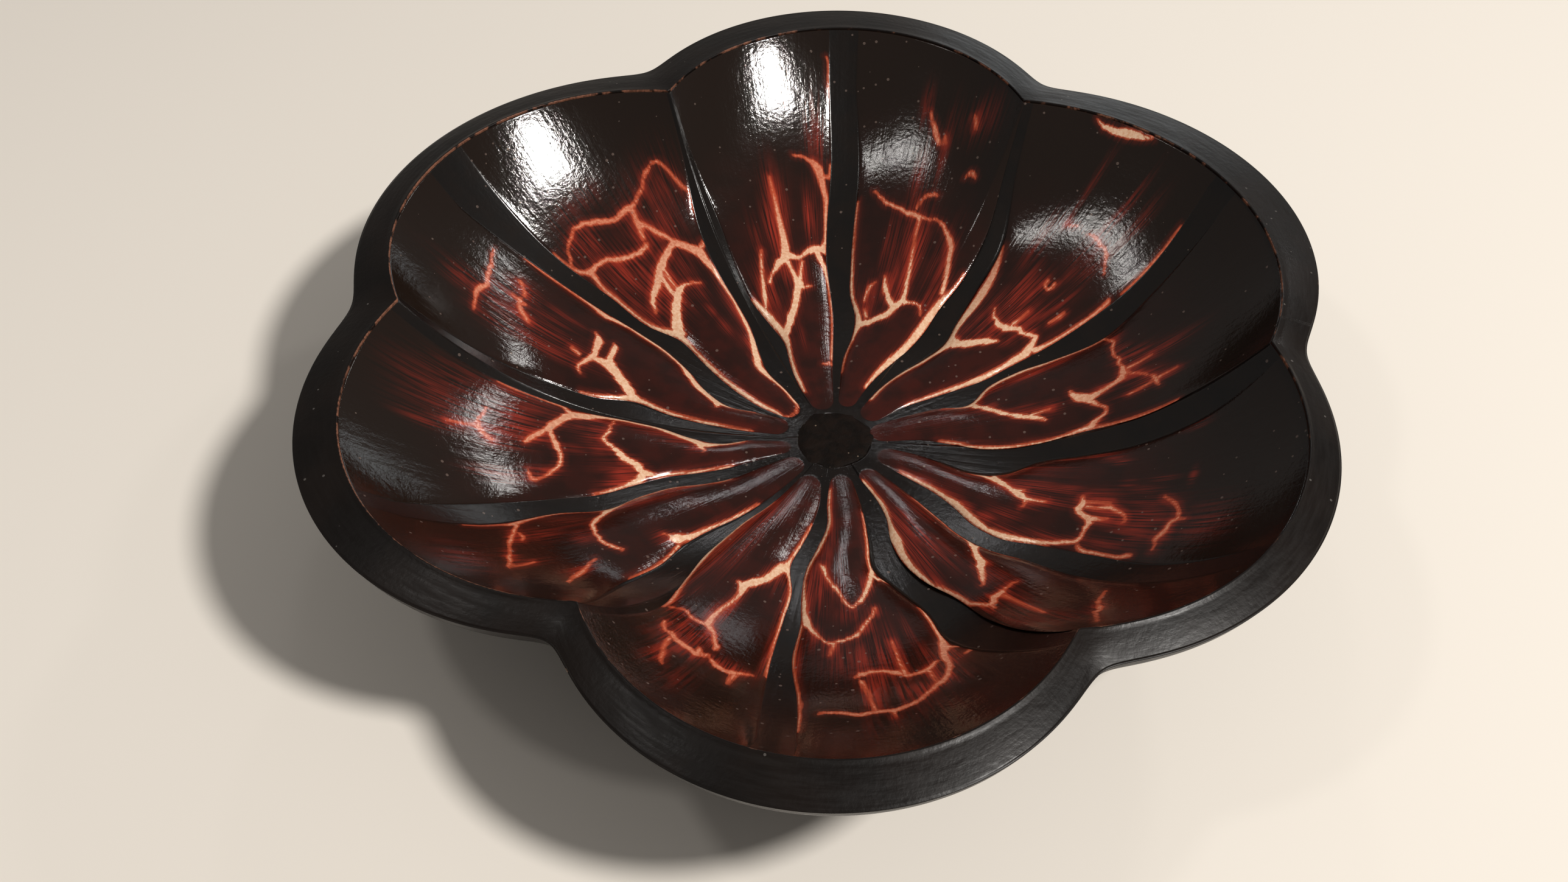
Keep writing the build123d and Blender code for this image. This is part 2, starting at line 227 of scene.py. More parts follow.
# %% Veins of each petal: (direction, distance, width)
VEINS = {
    "petal_back": [
        [(114.6, 49.5, 0.5), (114.2, 47, 1.4), (113.3, 44, 1.8), (112, 40.5, 2.0),
         (110.6, 37.5, 2.2), (110, 35.5, 1.8), (110, 33, 1.1), (110.9, 30, 1.0), (112.3, 25, 1.0),
         (113.8, 20, 1.0), (114.5, 17, 0.6)],
        [(110, 35.5, 1.6), (108.3, 37.2, 2.4), (106, 38.9, 2.4), (104.3, 41, 2.2),
         (102.6, 43.3, 2.0), (101.5, 45.5, 2.0), (100.6, 48, 2.2), (99.7, 49.8, 2.4),
         (98.9, 51, 2.0)],
        [(99.2, 49.8, 1.2), (97.2, 49.6, 0.8), (95.8, 50, 0.4)],
        [(99.8, 50, 2.2), (100, 52.5, 1.6), (100.8, 55, 1.2), (101.2, 57, 1.6)],
        [(99, 51.5, 1.2), (98.2, 54.5, 0.9), (97.4, 57.5, 0.8)],
        [(111.8, 44.5, 0.6), (110.9, 48, 1.2), (109.7, 52, 1.4), (109, 55, 1.0), (108.2, 58, 0.8),
         (107.2, 61.5, 0.5)],
        [(108, 52, 0.6), (107, 53.5, 0.9), (105, 56, 1.2), (103.6, 57.8, 2.4), (102, 58.3, 3.0),
         (100.5, 59, 2.4), (98.5, 58.4, 1.3), (97, 59.3, 1.2), (95.5, 60.8, 1.6), (94, 62, 2.4),
         (92.3, 62.6, 2.4)],
        [(101.6, 59, 3.0), (101.1, 61.5, 2.6), (101, 65, 2.0), (101.1, 70, 1.6), (101.2, 76, 1.1),
         (101.5, 81, 0.4)],
        [(93.2, 61.3, 2.0), (92.3, 58.5, 1.8), (91.4, 56, 1.3), (90.4, 53.5, 0.8), (90, 50, 0.5),
         (89.8, 46, 0.5), (89.6, 36, 0.4), (90.3, 30, 0.5), (90.8, 26.5, 0.6)],
        [(95.5, 24.8, 0.3), (92.5, 25, 0.8), (91, 25, 0.9)],
        [(91.3, 62.5, 2.0), (91, 66, 0.8), (90.9, 70, 0.8), (90.8, 75, 1.1), (91.1, 79, 1.6),
         (91.5, 82, 2.2), (92, 84.5, 2.6), (93, 86, 1.6), (94.5, 86.8, 0.9), (96.3, 87.3, 0.6)],
        [(91, 82.5, 1.2), (89.9, 84, 0.5), (88.8, 87.5, 0.5), (88.4, 91, 0.6), (88.5, 94, 0.7),
         (88.9, 98, 0.6), (89.4, 102, 0.6), (90.1, 106, 0.5), (90.6, 109, 0.4)],
        [(84.6, 77, 0.6), (84.6, 68, 0.6), (84.4, 60, 0.7), (84.1, 55, 0.9), (83.6, 50, 1.0),
         (82.6, 46, 1.0), (81.4, 43, 1.4), (80.5, 40.5, 2.0), (80.2, 38.5, 2.2), (80.4, 36.8, 1.4),
         (80.9, 35, 0.8), (81.6, 33, 0.6), (82.6, 30.5, 0.6), (83.6, 27, 0.5), (84.1, 23, 0.3)],
        [(80, 39.2, 2.4), (78.3, 39.2, 2.4), (76.5, 39.4, 2.2), (75, 39.9, 2.0), (73, 40.9, 2.0),
         (71, 42.1, 2.0), (69.8, 43.5, 2.0), (69, 45.2, 2.2), (67.5, 46.8, 2.2), (66, 47.2, 1.6),
         (64.5, 47.3, 1.0), (63, 47.6, 0.8), (61.8, 47.5, 0.6), (60.8, 46.5, 0.5),
         (59.8, 44.8, 0.3)],
        [(69.5, 45.5, 1.8), (71.5, 47.2, 1.8), (73.3, 49.3, 1.4), (74.2, 51.5, 1.1),
         (74.8, 54, 0.8)],
        [(67.2, 47.3, 1.6), (67.4, 49.5, 1.3), (68.2, 53, 1.2), (69, 58, 1.0), (69.7, 62, 0.8),
         (70.4, 67, 0.7), (70.6, 71, 0.8)],
        [(79.3, 46.5, 0.5), (78.9, 49, 0.8), (78.4, 50.8, 0.9), (77.3, 52, 0.6)],
        [(78.6, 44, 0.5), (78, 42.5, 0.8), (77.2, 41.2, 0.8)],
        [(81.2, 79, 0.4), (79.5, 77, 0.6), (78.2, 75.3, 1.0), (77, 74.5, 1.1), (75.5, 74, 1.1),
         (74, 73.2, 1.4), (72.5, 72.6, 1.5), (71, 71.8, 1.4), (69.8, 71.5, 0.9), (68, 71.3, 0.6),
         (66, 71, 0.6), (65, 70, 0.9), (64, 68.6, 1.0), (62.5, 66.8, 1.5), (61.2, 65, 1.7),
         (60.3, 62, 1.3), (59.3, 59, 1.3), (58.4, 56, 1.3), (57.6, 53, 1.3)],
        [(71.9, 74, 0.6), (71.5, 76, 0.7), (70.5, 77.6, 0.9), (69.3, 78.2, 1.0), (68.5, 77.8, 0.5)],
        [(54.6, 60, 0.8), (55.5, 56, 1.0), (56.5, 51, 1.8), (57.2, 45, 2.2), (57.3, 40, 2.2),
         (57.9, 35, 1.8), (59.8, 30, 1.7), (62.6, 25, 1.3), (64, 22, 0.9), (64.8, 19, 0.7)],
        [(73.8, 97, 0.4), (72.9, 94.5, 0.8), (72.3, 92.8, 1.4), (71.5, 91, 1.4), (71, 89.8, 0.6)],
        [(70.4, 91.5, 0.5), (70, 89.8, 0.5)],
        [(66.3, 95, 0.5), (65.8, 93.5, 0.7), (65.4, 92, 0.5)],
        [(64.3, 81.8, 0.6), (63.6, 82.8, 1.2), (63, 82.3, 1.1), (62.4, 81.6, 0.5)],
    ],
    "petal_back_left": [
        [(140.3, 50.5, 1.6), (141.4, 45, 0.8), (142.3, 40, 0.9), (143.8, 35, 1.0), (145.6, 30, 1.1),
         (147.6, 25, 1.2), (148.6, 20, 1.1), (148.3, 17, 0.9), (146.5, 14.2, 0.7), (142, 12.8, 0.5),
         (136, 12.9, 0.5), (131, 14.2, 0.7), (128.3, 15.7, 0.8), (127, 18, 0.9)],
        [(140.3, 50.5, 1.6), (141.5, 53, 1.3), (142.5, 56, 0.9), (143.2, 60, 0.8), (143.3, 68, 0.8),
         (143.1, 74, 0.9), (143, 77, 1.6), (144, 79, 0.9), (144.7, 82, 0.5), (145.2, 86, 0.3)],
        [(140.3, 50, 2.4), (139, 52, 3.0), (137, 54.3, 3.0), (134.7, 56.6, 3.0), (132.5, 58.3, 2.6),
         (130.8, 59.2, 2.2), (129.5, 59.3, 1.0), (127.5, 58.8, 0.6), (125.5, 57.8, 0.4)],
        [(139.7, 58.5, 0.6), (138.5, 61, 1.3), (137, 62.2, 2.0), (134.5, 63.8, 2.2),
         (132, 66.3, 2.4), (129.5, 68.2, 2.4), (127.5, 69.3, 2.2), (125.5, 69.8, 1.8),
         (124, 68.7, 2.2), (122.6, 67, 2.6), (121.4, 65.7, 3.0), (120.9, 63, 2.2), (120.4, 60, 1.7),
         (120, 56, 1.2), (119.9, 50, 1.1), (120.5, 45, 1.4), (121.5, 40, 1.6), (122.9, 37, 1.9),
         (124.2, 35, 2.0), (126, 32.5, 2.5), (128.3, 30, 2.3), (128.7, 28, 2.2), (128, 26, 1.6),
         (127.4, 24, 1.1), (126.9, 20, 0.8), (127.1, 17, 0.8)],
        [(133.3, 59.5, 1.2), (133, 62, 1.4), (132.3, 65, 1.2)],
        [(131.7, 60, 0.8), (131.4, 63, 0.9), (131, 66, 0.8)],
        [(142.8, 77, 2.0), (141, 77.2, 1.2), (139, 76.3, 1.3), (137.3, 74.6, 1.5),
         (135.5, 73.4, 1.6), (133.5, 72.7, 1.6), (131.5, 72.9, 1.4), (130.7, 73.6, 1.2)],
        [(130.5, 75, 1.0), (129.8, 78, 1.6), (129.2, 81.5, 1.4)],
        [(129.8, 79, 1.4), (128.3, 76.5, 1.4), (127, 73.5, 1.1), (125.7, 71, 1.2), (125, 70, 1.2)],
        [(144.3, 81.5, 0.6), (143.2, 84, 0.6), (141, 85.7, 0.9), (139.5, 86.4, 1.1),
         (138, 86.2, 1.2), (136.5, 84.8, 1.4), (135, 83.3, 1.5), (133, 82.4, 1.4),
         (130.5, 82.2, 1.8), (128.5, 82.3, 1.3), (127, 83.3, 0.9), (125.5, 84.8, 0.8),
         (124, 86.6, 1.2), (122.5, 87.2, 0.8), (121.3, 86.8, 0.7), (120.3, 84.5, 0.6),
         (119.3, 81.5, 0.6), (118.3, 77.5, 0.6), (117.5, 72.5, 0.7)],
        [(121.3, 65.8, 1.2), (120, 67.8, 0.8), (119.3, 68.3, 0.6)],
        [(172.7, 20, 0.3), (171.9, 26, 0.4), (171.3, 31, 0.6), (170.9, 35, 0.7), (170, 40, 0.7),
         (169.1, 45, 0.9), (168.4, 48.5, 1.2), (168, 50.5, 2.4)],
        [(172.3, 62, 0.5), (171.6, 57, 0.9), (170.4, 53.5, 1.1), (169, 51.5, 1.6), (168, 50.5, 2.4),
         (166.6, 51.8, 3.0), (165, 53.6, 3.0), (163.5, 55.3, 3.0), (162, 57.5, 3.4),
         (161.8, 59.5, 2.4), (162, 61.5, 1.8)],
        [(161, 58.3, 2.2), (159, 58.7, 1.7), (157.5, 59, 1.7), (155.8, 59.6, 1.4),
         (155.2, 60, 0.7)],
        [(167.3, 63.3, 0.6), (165.8, 64.2, 0.9), (164.5, 63.6, 1.2), (162.8, 62.5, 1.7),
         (160.5, 62.4, 1.9), (158.8, 62.8, 2.1), (157.2, 63.2, 2.6), (156, 64, 1.8),
         (155, 65, 0.7)],
        [(162.8, 65, 1.0), (162.2, 67.5, 0.9)],
        [(166.5, 89, 0.4), (164.5, 90, 0.8), (162.8, 90.6, 1.6), (161.3, 90.3, 1.9), (160, 90, 1.4),
         (158.3, 91, 1.0), (156.8, 92, 1.2), (155, 93.2, 0.8), (153.2, 94.3, 0.5)],
        [(161.8, 78.5, 1.0), (160.6, 81, 1.3), (159.3, 82.5, 1.1), (158, 83.2, 0.8)],
        [(158.7, 81.5, 0.8), (158.4, 85, 0.6)],
        [(157, 82.8, 0.8), (155.5, 84.3, 0.9), (154.8, 86, 0.5)],
        [(149.9, 89, 0.6), (149, 84.5, 0.9), (148.4, 78, 0.9), (148.2, 72, 1.3), (148.7, 68.5, 1.9),
         (148.6, 66.5, 1.9), (147.8, 64, 1.7), (147.2, 61, 1.1), (147.1, 57, 1.2), (147.4, 53, 1.3),
         (147.9, 49, 1.1), (149, 45, 1.3), (150.5, 42.5, 1.7), (152.3, 40, 1.9), (154.3, 37.5, 2.4),
         (156.3, 34.8, 2.4), (158.2, 32, 2.4), (160, 30, 2.2), (161.5, 30.3, 1.4),
         (162.8, 30.3, 0.6)],
        [(160, 29.8, 1.8), (159.6, 28.3, 1.4), (158.6, 26, 0.8), (157.3, 23.5, 0.6),
         (156, 21.5, 0.4)],
    ],
    "petal_front_left": [
        [(182.3, 21.3, 0.6), (183.9, 23, 1.1), (185, 25, 1.2), (185.8, 27, 1.4), (186.4, 29, 1.7),
         (186.6, 30.5, 2.2), (186.3, 32, 2.8), (185.2, 33, 2.6), (183.6, 34.3, 2.5),
         (182.3, 36, 2.4), (180.9, 38, 2.3), (179.9, 40, 2.1), (179.2, 42, 1.6), (178.7, 44, 1.3),
         (178.4, 47.3, 1.3), (178.2, 50.7, 1.2), (178.2, 53, 1.4), (178.4, 55.3, 1.5),
         (178.9, 57, 2.0), (179.6, 59, 2.5), (180.1, 61, 2.8), (180.4, 62.3, 2.8)],
        [(190.8, 31.9, 0.5), (189.4, 31.9, 1.2), (188, 32.2, 1.8), (186.6, 32.2, 2.4)],
        [(180, 62.5, 1.6), (179.2, 63.8, 1.1), (178.7, 65.3, 0.8), (178.4, 68, 0.7),
         (178.3, 72, 0.6), (178.1, 75, 0.8), (178.3, 79, 0.5)],
        [(180.6, 62.6, 2.4), (181.6, 63.8, 2.2), (182.8, 64.7, 2.2), (184.1, 66, 2.3),
         (185.4, 67.3, 2.0), (186.3, 68.3, 1.5), (187.7, 70, 1.4), (189, 71.8, 1.6),
         (190.2, 73, 1.0)],
        [(186, 67.4, 1.4), (188.5, 66.8, 1.5), (190, 66.3, 1.7), (191.5, 65.5, 1.2),
         (193, 65.3, 1.0), (194.5, 65.8, 0.9), (195.5, 66.8, 0.8), (196.6, 68.3, 0.8),
         (197.8, 70.3, 0.6), (198.3, 71.8, 0.8), (198, 72.9, 1.0), (196.5, 73.5, 0.5)],
        [(200.1, 26, 0.3), (199.9, 28, 0.45), (199.6, 31, 0.5), (199.1, 34, 0.6), (198.8, 36, 0.65),
         (198.6, 38, 0.7), (198.3, 40, 0.75), (198, 42, 0.8), (197.8, 44, 0.95), (197.4, 46, 1.6),
         (197.2, 47.3, 2.3)],
        [(197.3, 47.2, 2.2), (198.6, 48.2, 1.8), (199.5, 49.8, 1.3), (200.1, 51.7, 0.95),
         (200.7, 53.8, 0.8), (201.1, 55.5, 0.7), (201.3, 57.5, 0.5), (201.4, 60, 0.35)],
        [(197.2, 47.2, 2.2), (195.8, 47.6, 2.0), (194.6, 48.5, 1.9), (193.3, 50.1, 1.9),
         (192.3, 51.2, 2.2), (191.3, 51.7, 2.1), (190.3, 52.4, 1.7), (189, 53.3, 1.4),
         (187.2, 54.6, 1.1), (185.5, 54.5, 1.0), (184.3, 54, 1.2), (183, 53.6, 0.8),
         (181, 53.3, 0.5), (179.5, 53, 0.5)],
        [(191.3, 80.3, 0.8), (190.3, 81.6, 1.2), (189.6, 82.6, 1.4), (189.2, 83.6, 0.8),
         (189.5, 86, 0.5), (190, 89, 0.35)],
        [(189.3, 83, 0.7), (188, 82.2, 0.6), (186.5, 81.8, 0.5), (185, 81, 0.35)],
        [(208.5, 27.6, 0.4), (208.2, 29, 0.6), (207.6, 31, 0.7), (206.9, 33.5, 0.7),
         (206.2, 35.5, 0.7), (205.5, 37.5, 0.7), (204.8, 40, 0.7), (204.5, 43, 0.8),
         (204.5, 46, 0.85), (204.9, 49, 0.85), (205.3, 52, 0.85), (206, 55, 1.0), (206.8, 57, 1.3),
         (207.4, 58.6, 2.0), (208.3, 60, 1.5), (209.4, 61.5, 1.3), (210.4, 63, 1.3),
         (211.9, 64.5, 1.2), (213.8, 65.3, 1.2), (216.9, 65.8, 1.1), (218.4, 65.6, 1.1),
         (219.3, 64.8, 1.1), (220.2, 64, 1.0), (221.1, 63.2, 0.5)],
        [(207.2, 59, 1.4), (206.4, 60.2, 0.6), (206.1, 62, 0.6), (205.9, 65, 0.5), (206.1, 70, 0.7),
         (206.5, 73, 0.9), (207, 76, 1.1), (207.9, 79, 1.5), (208.3, 80.6, 1.7), (208.6, 82.2, 1.1),
         (208.7, 84, 0.6), (209.1, 88, 0.4), (209.3, 92, 0.3)],
        [(208.4, 80.8, 1.5), (209.6, 81.2, 0.9), (210.6, 82.1, 0.8), (211.9, 83.3, 0.9),
         (213.1, 84.2, 1.2), (213.9, 85, 0.9), (215.3, 86, 0.4), (216.8, 87, 0.8), (218, 88, 1.2),
         (219.2, 89, 1.0), (220.2, 89.8, 0.5)],
        [(213.2, 81.8, 0.4), (212.3, 81, 0.8), (211.2, 81.3, 0.6)],
        [(229.3, 28, 0.35), (228.6, 31, 0.55), (227.7, 34, 0.6), (227.1, 36, 0.6),
         (226.3, 38.5, 0.65), (225.7, 40, 0.7), (225.2, 42, 0.8), (224.8, 44, 0.95),
         (224.5, 46, 1.2), (224, 48, 1.8), (223.7, 49.6, 2.6), (223.6, 50.3, 3.0)],
        [(222.6, 50.9, 1.2), (221.8, 51.3, 0.6), (221, 51.8, 0.3)],
        [(225.2, 51, 0.9), (225.9, 52.6, 0.6), (226.5, 55, 0.5), (227.2, 58, 0.4),
         (227.6, 62, 0.35), (227.8, 68, 0.3)],
        [(225.6, 81.5, 0.4), (224.8, 79.5, 0.6), (224.2, 77.5, 1.0), (223.6, 75.5, 1.0),
         (222.8, 73.5, 0.6), (222, 72, 0.6), (221.3, 70, 0.4)],
        [(220, 89, 0.6), (219.7, 86, 0.4), (219.3, 83.5, 0.4)],
    ],
    "petal_front": [
        [(258, 28, 0.3), (257.2, 30, 0.45), (256.6, 32, 0.55), (255.8, 34.5, 0.6),
         (255.2, 37, 0.65), (254.8, 39, 0.7), (254.5, 40.5, 0.9), (254.1, 42, 1.6),
         (253.9, 43, 2.3)],
        [(254.3, 43, 1.6), (255.2, 44.5, 1.2), (256.2, 46, 0.9), (256.9, 48, 0.7), (257.2, 50, 0.6),
         (257.3, 53, 0.6), (257.4, 58, 0.6), (257.5, 63, 0.55), (257.6, 68, 0.5), (257.7, 72, 0.5),
         (257.7, 76, 0.5), (257.8, 78.5, 0.4)],
        [(253.8, 42.8, 2.4), (253, 43.8, 2.6), (252.4, 45, 2.4), (251.8, 47, 2.3),
         (250.6, 49.5, 2.2), (249.2, 51.2, 2.2), (248, 52.7, 2.3), (247.1, 54, 2.5),
         (247.4, 55.2, 2.0), (247.5, 57, 1.2), (247.3, 59, 1.0), (247, 61, 1.1), (246.5, 63, 1.1),
         (246.3, 65, 1.3), (246.2, 67, 1.5), (246.3, 69, 1.8), (246.3, 70.3, 1.8)],
        [(247, 54, 1.6), (246, 53.7, 1.2), (245.3, 53.5, 0.5)],
        [(245.9, 70.4, 1.4), (244.5, 70.6, 0.9), (242.8, 69.8, 0.8), (241.5, 69.2, 0.7),
         (240.3, 69.8, 0.6), (239.4, 70.3, 0.6)],
        [(246.8, 70.5, 1.4), (248.3, 72.3, 1.0), (249.3, 74.5, 1.1), (250, 75.8, 1.3),
         (250.1, 76.9, 0.9)],
        [(256.6, 80.3, 0.5), (255.3, 80.7, 0.9), (254.4, 81.5, 1.4), (253.3, 82.4, 1.8),
         (252.2, 82.2, 1.9), (251.3, 81.5, 1.6), (250.7, 80.8, 0.8)],
        [(254.5, 82.3, 1.2), (254.3, 84.5, 0.9), (254.4, 86.5, 0.4)],
        [(249.9, 79.5, 0.6), (249.2, 80.8, 1.2), (248.4, 81.2, 1.7), (247.4, 80.9, 1.9),
         (246.3, 80.8, 2.0), (245.2, 80.3, 1.7), (244.3, 79.5, 1.3), (243.5, 78.5, 1.2),
         (242.7, 79, 0.9), (242, 78, 0.7), (241.3, 76, 0.5)],
        [(248.5, 80, 1.3), (248.3, 78.8, 0.8)],
        [(246.7, 91, 0.4), (246, 89, 0.6), (245.5, 87, 0.7), (245, 85, 0.6), (244.5, 82.5, 0.6),
         (244.2, 80.5, 0.8)],
        [(234.6, 25, 0.4), (234.2, 27, 0.55), (233.5, 30, 0.6), (232.7, 33, 0.8), (232.4, 36, 0.85),
         (232.6, 40, 0.95), (233.1, 45, 1.1), (233.7, 50, 1.4), (234.4, 53, 1.2), (235.2, 56, 1.0),
         (235.9, 59, 1.1), (236.6, 62, 1.1), (237.3, 65, 1.1), (238.2, 68.5, 1.2),
         (238.9, 70.5, 0.8)],
        [(238.4, 70.3, 0.9), (237.5, 71.5, 0.7), (236.8, 73, 0.5)],
        [(264.8, 16.5, 0.6), (264.9, 19, 0.8), (265.3, 21, 0.7), (265.7, 23, 0.8),
         (266.1, 25, 0.85), (266.3, 27, 0.95), (265.9, 28.5, 1.0), (265.3, 30, 1.0),
         (264.6, 31.5, 1.05), (263.8, 33.5, 1.1), (262.9, 36, 1.0), (262, 38, 0.95),
         (261.2, 40, 0.85), (260.8, 42, 0.7), (260.6, 45, 0.6), (260.8, 48, 0.8), (261, 50, 1.0),
         (261.5, 53, 1.4), (262, 55, 1.4), (262.4, 56.7, 1.6), (262.7, 58, 2.0), (263, 59.2, 2.1)],
        [(262.9, 59, 2.0), (263.5, 60.2, 1.4), (264.5, 62, 0.9), (265.5, 63.8, 0.7),
         (266.5, 65, 0.6), (267.6, 66, 0.9), (268.5, 65.9, 0.9), (270, 65.4, 1.0), (271.5, 65, 1.0),
         (272.7, 64, 1.1), (273.5, 62.8, 1.1), (274.5, 61, 0.9), (275.5, 59.5, 0.9),
         (276.4, 58.3, 0.9), (277, 57.2, 0.7), (277.5, 55.6, 0.5)],
        [(262.1, 59.6, 0.6), (261.9, 64, 0.5), (261.7, 68, 0.5), (261.9, 72, 0.4), (262.3, 75, 0.4),
         (262.9, 79, 0.4), (263.5, 82.5, 0.6), (263.9, 85, 0.7), (264.2, 87, 0.9), (264, 89.5, 0.6),
         (263.9, 92, 0.7), (263.8, 95, 0.5), (263.9, 98, 0.3)],
        [(284.3, 24.5, 0.3), (283.6, 26.5, 0.45), (283, 28.5, 0.55), (282.3, 31, 0.7),
         (281.3, 34, 0.75), (280.9, 36, 0.75), (280.4, 38, 0.75), (279.9, 40, 0.75),
         (279.6, 41.5, 0.9), (279.4, 43, 1.3), (279.3, 44.4, 1.9)],
        [(279.7, 44.9, 1.6), (280.8, 45.9, 1.0), (281.9, 46.6, 0.7), (283.4, 47, 0.35)],
        [(279.2, 44.6, 1.8), (278.4, 46.1, 1.4), (277.7, 47.6, 1.3), (277.1, 48.8, 1.2),
         (276.3, 50.2, 1.2), (275.3, 52, 1.2), (274.5, 53.2, 1.0), (273.5, 54.2, 0.9),
         (272.5, 54.8, 0.8), (271.8, 54.5, 0.7), (271, 53.3, 0.7), (270.4, 51.6, 0.5),
         (269.6, 50, 0.9), (268.8, 48.6, 0.9), (268, 47.5, 0.7), (267.2, 46, 0.6),
         (266.3, 44.5, 0.7), (265.8, 43, 0.9), (265.3, 41.8, 1.2), (264.9, 41.3, 1.0),
         (264.4, 40.8, 0.5)],
        [(288, 57, 0.5), (287.6, 60, 0.9), (287.4, 63, 0.9), (287.3, 66, 1.0), (287.1, 69, 1.3),
         (286.9, 71.5, 2.0), (286.6, 73, 2.3), (285.8, 75, 1.6), (285.5, 77, 1.8), (285.4, 79, 1.4),
         (285.1, 81, 1.4), (284, 83.3, 1.6), (282.8, 85, 1.6), (281.5, 86.7, 1.3),
         (280.2, 88.2, 1.2), (279, 89.8, 1.2), (277.9, 91, 1.6), (276.8, 91.6, 1.6),
         (275.7, 92.3, 1.8), (274.5, 91.8, 1.4), (273.5, 91.2, 1.4), (272.5, 91.5, 1.8),
         (271.5, 91.8, 1.8), (270.5, 91.3, 1.6), (269.5, 90.6, 1.2), (268.3, 90.2, 1.1),
         (267, 90.2, 0.9), (266.6, 91, 0.4)],
        [(275.4, 93, 0.8), (275.4, 95, 0.4)],
        [(287, 72.5, 1.0), (288, 73.2, 0.9), (288.3, 73.6, 0.5)],
        [(290.3, 76, 0.4), (289.2, 76.8, 0.9), (288.6, 77.5, 0.5)],
        [(283.9, 77.5, 0.9), (283, 78.5, 1.3), (281.8, 79.7, 1.3), (280.8, 80.3, 1.1),
         (279.8, 80.3, 0.9), (278.5, 79.3, 1.4), (277.8, 78.5, 1.8), (277, 77.8, 1.5),
         (276, 77.3, 1.1), (275, 77.2, 1.0), (273.8, 77, 1.3), (272.5, 77, 1.6),
         (271.8, 77.8, 1.0)],
        [(273.4, 90.5, 0.9), (273.3, 88, 0.7), (273.2, 85, 0.8), (272.7, 82, 1.0),
         (272.4, 79.5, 1.0)],
        [(278.9, 79, 0.9), (278.7, 75, 0.8), (278.8, 71, 0.5), (278.7, 67, 0.4)],
        [(282.3, 85, 0.6), (282.2, 82, 0.8), (282.3, 79.5, 0.8)],
        [(268.5, 66.5, 0.9), (268, 68.5, 0.6), (267.7, 70, 0.3)],
    ],
    "petal_front_right": [
        [(312.8, 26, 0.4), (312.6, 28, 0.5), (312.1, 31, 0.55), (311.7, 34, 0.55), (311.2, 38, 0.5),
         (310.9, 41, 0.45), (310.7, 43.5, 0.55), (310.3, 45.2, 1.0), (309.9, 46.6, 1.6),
         (309.6, 47.3, 1.8)],
        [(311.1, 48.1, 0.7), (310.3, 47.7, 1.3), (309.3, 48, 1.8), (308.1, 48.8, 1.8),
         (307.1, 50.1, 1.8), (306.4, 51.4, 1.9), (305.8, 53, 2.4), (305, 53.8, 2.2),
         (304.2, 54.3, 1.9), (303.5, 55.6, 1.7), (302.6, 57.1, 1.5), (301.8, 58.3, 1.3),
         (301.1, 59.5, 0.8), (300.3, 60.1, 0.4)],
        [(311.4, 48.5, 0.5), (312.4, 50.2, 0.4), (313.3, 52.2, 0.4), (314, 54.5, 0.5),
         (314.4, 57, 0.3)],
        [(294.4, 15, 0.8), (295, 17.5, 0.9), (295.9, 19.5, 0.8), (296.8, 21.5, 0.9),
         (297.2, 23.3, 1.1), (296.5, 25, 1.1), (295.4, 27, 1.1), (294.5, 29, 1.2), (293.5, 31, 1.4),
         (292.4, 33, 1.9), (291.6, 35, 2.4), (291, 37, 2.5), (290.7, 39, 2.1), (290.8, 41, 1.8),
         (291.1, 43.5, 1.5), (291.5, 46, 1.3), (292, 49, 1.1), (292.7, 52, 0.9), (293.6, 55, 0.9),
         (294.6, 58, 1.0), (295.2, 60.5, 1.1), (295.8, 63, 1.1), (296.4, 65, 1.1),
         (297.2, 66.8, 1.3), (298, 67.2, 1.5), (298.8, 66.2, 1.7), (299.6, 65.4, 2.0),
         (300.6, 65.3, 1.8), (301.6, 65, 1.4), (302.3, 64.3, 0.8)],
        [(303, 64.2, 0.7), (304.5, 64, 0.5), (306, 64, 0.4)],
        [(301.2, 66.5, 0.9), (301.3, 69, 0.6), (301.4, 72, 0.5), (301.6, 75, 0.5),
         (301.5, 78, 0.4)],
        [(297.6, 68, 0.8), (297.5, 69, 0.5)],
        [(312, 81, 0.35), (310.5, 81.8, 0.6), (309.2, 82.8, 0.7), (308.5, 83.2, 1.0),
         (307.5, 84.3, 0.8), (306.8, 85.5, 1.2), (305.8, 86.5, 1.4), (305.2, 86.4, 1.1),
         (304.6, 87.5, 0.8), (303.6, 88.7, 0.7), (302.8, 90, 0.6), (302, 91.3, 0.5)],
        [(338.8, 34, 0.5), (338.3, 35.5, 0.9), (338, 37, 1.2), (337.6, 38.3, 1.6),
         (337.4, 39.5, 2.2), (336.8, 40.5, 2.2), (336.1, 41.3, 1.9), (335.3, 42.3, 1.7),
         (334.5, 43.3, 1.5), (333.8, 44.3, 1.5), (333.1, 45.4, 1.7), (332.6, 46.5, 2.0),
         (332, 47.5, 2.1), (331.4, 48.5, 1.6), (331.1, 49.8, 1.1), (331.3, 51.5, 0.8),
         (331.5, 54, 0.6)],
        [(339.3, 39.6, 1.2), (338.2, 39.7, 2.0), (337.3, 39.9, 2.2)],
        [(339.8, 40.2, 0.6), (341, 41.4, 0.4), (343, 43.7, 0.35), (345, 46, 0.3)],
        [(330.7, 48.9, 0.8), (329.5, 49.3, 0.5), (328.4, 49.5, 0.35)],
        [(333.6, 46, 1.0), (334.1, 48, 0.5)],
        [(325, 18.8, 0.6), (324.7, 21, 0.85), (324.4, 24, 0.9), (324.2, 27, 1.0),
         (323.8, 29.5, 1.0), (323.3, 31.5, 1.05), (322.8, 33, 1.2), (322, 34.7, 1.5),
         (321.3, 36.3, 1.8), (320.5, 37.7, 1.8), (319.9, 39, 1.8), (319.3, 40.5, 1.9),
         (318.8, 42, 1.9), (318.6, 43.5, 1.6), (318.2, 45.3, 1.2), (318.4, 48, 1.5),
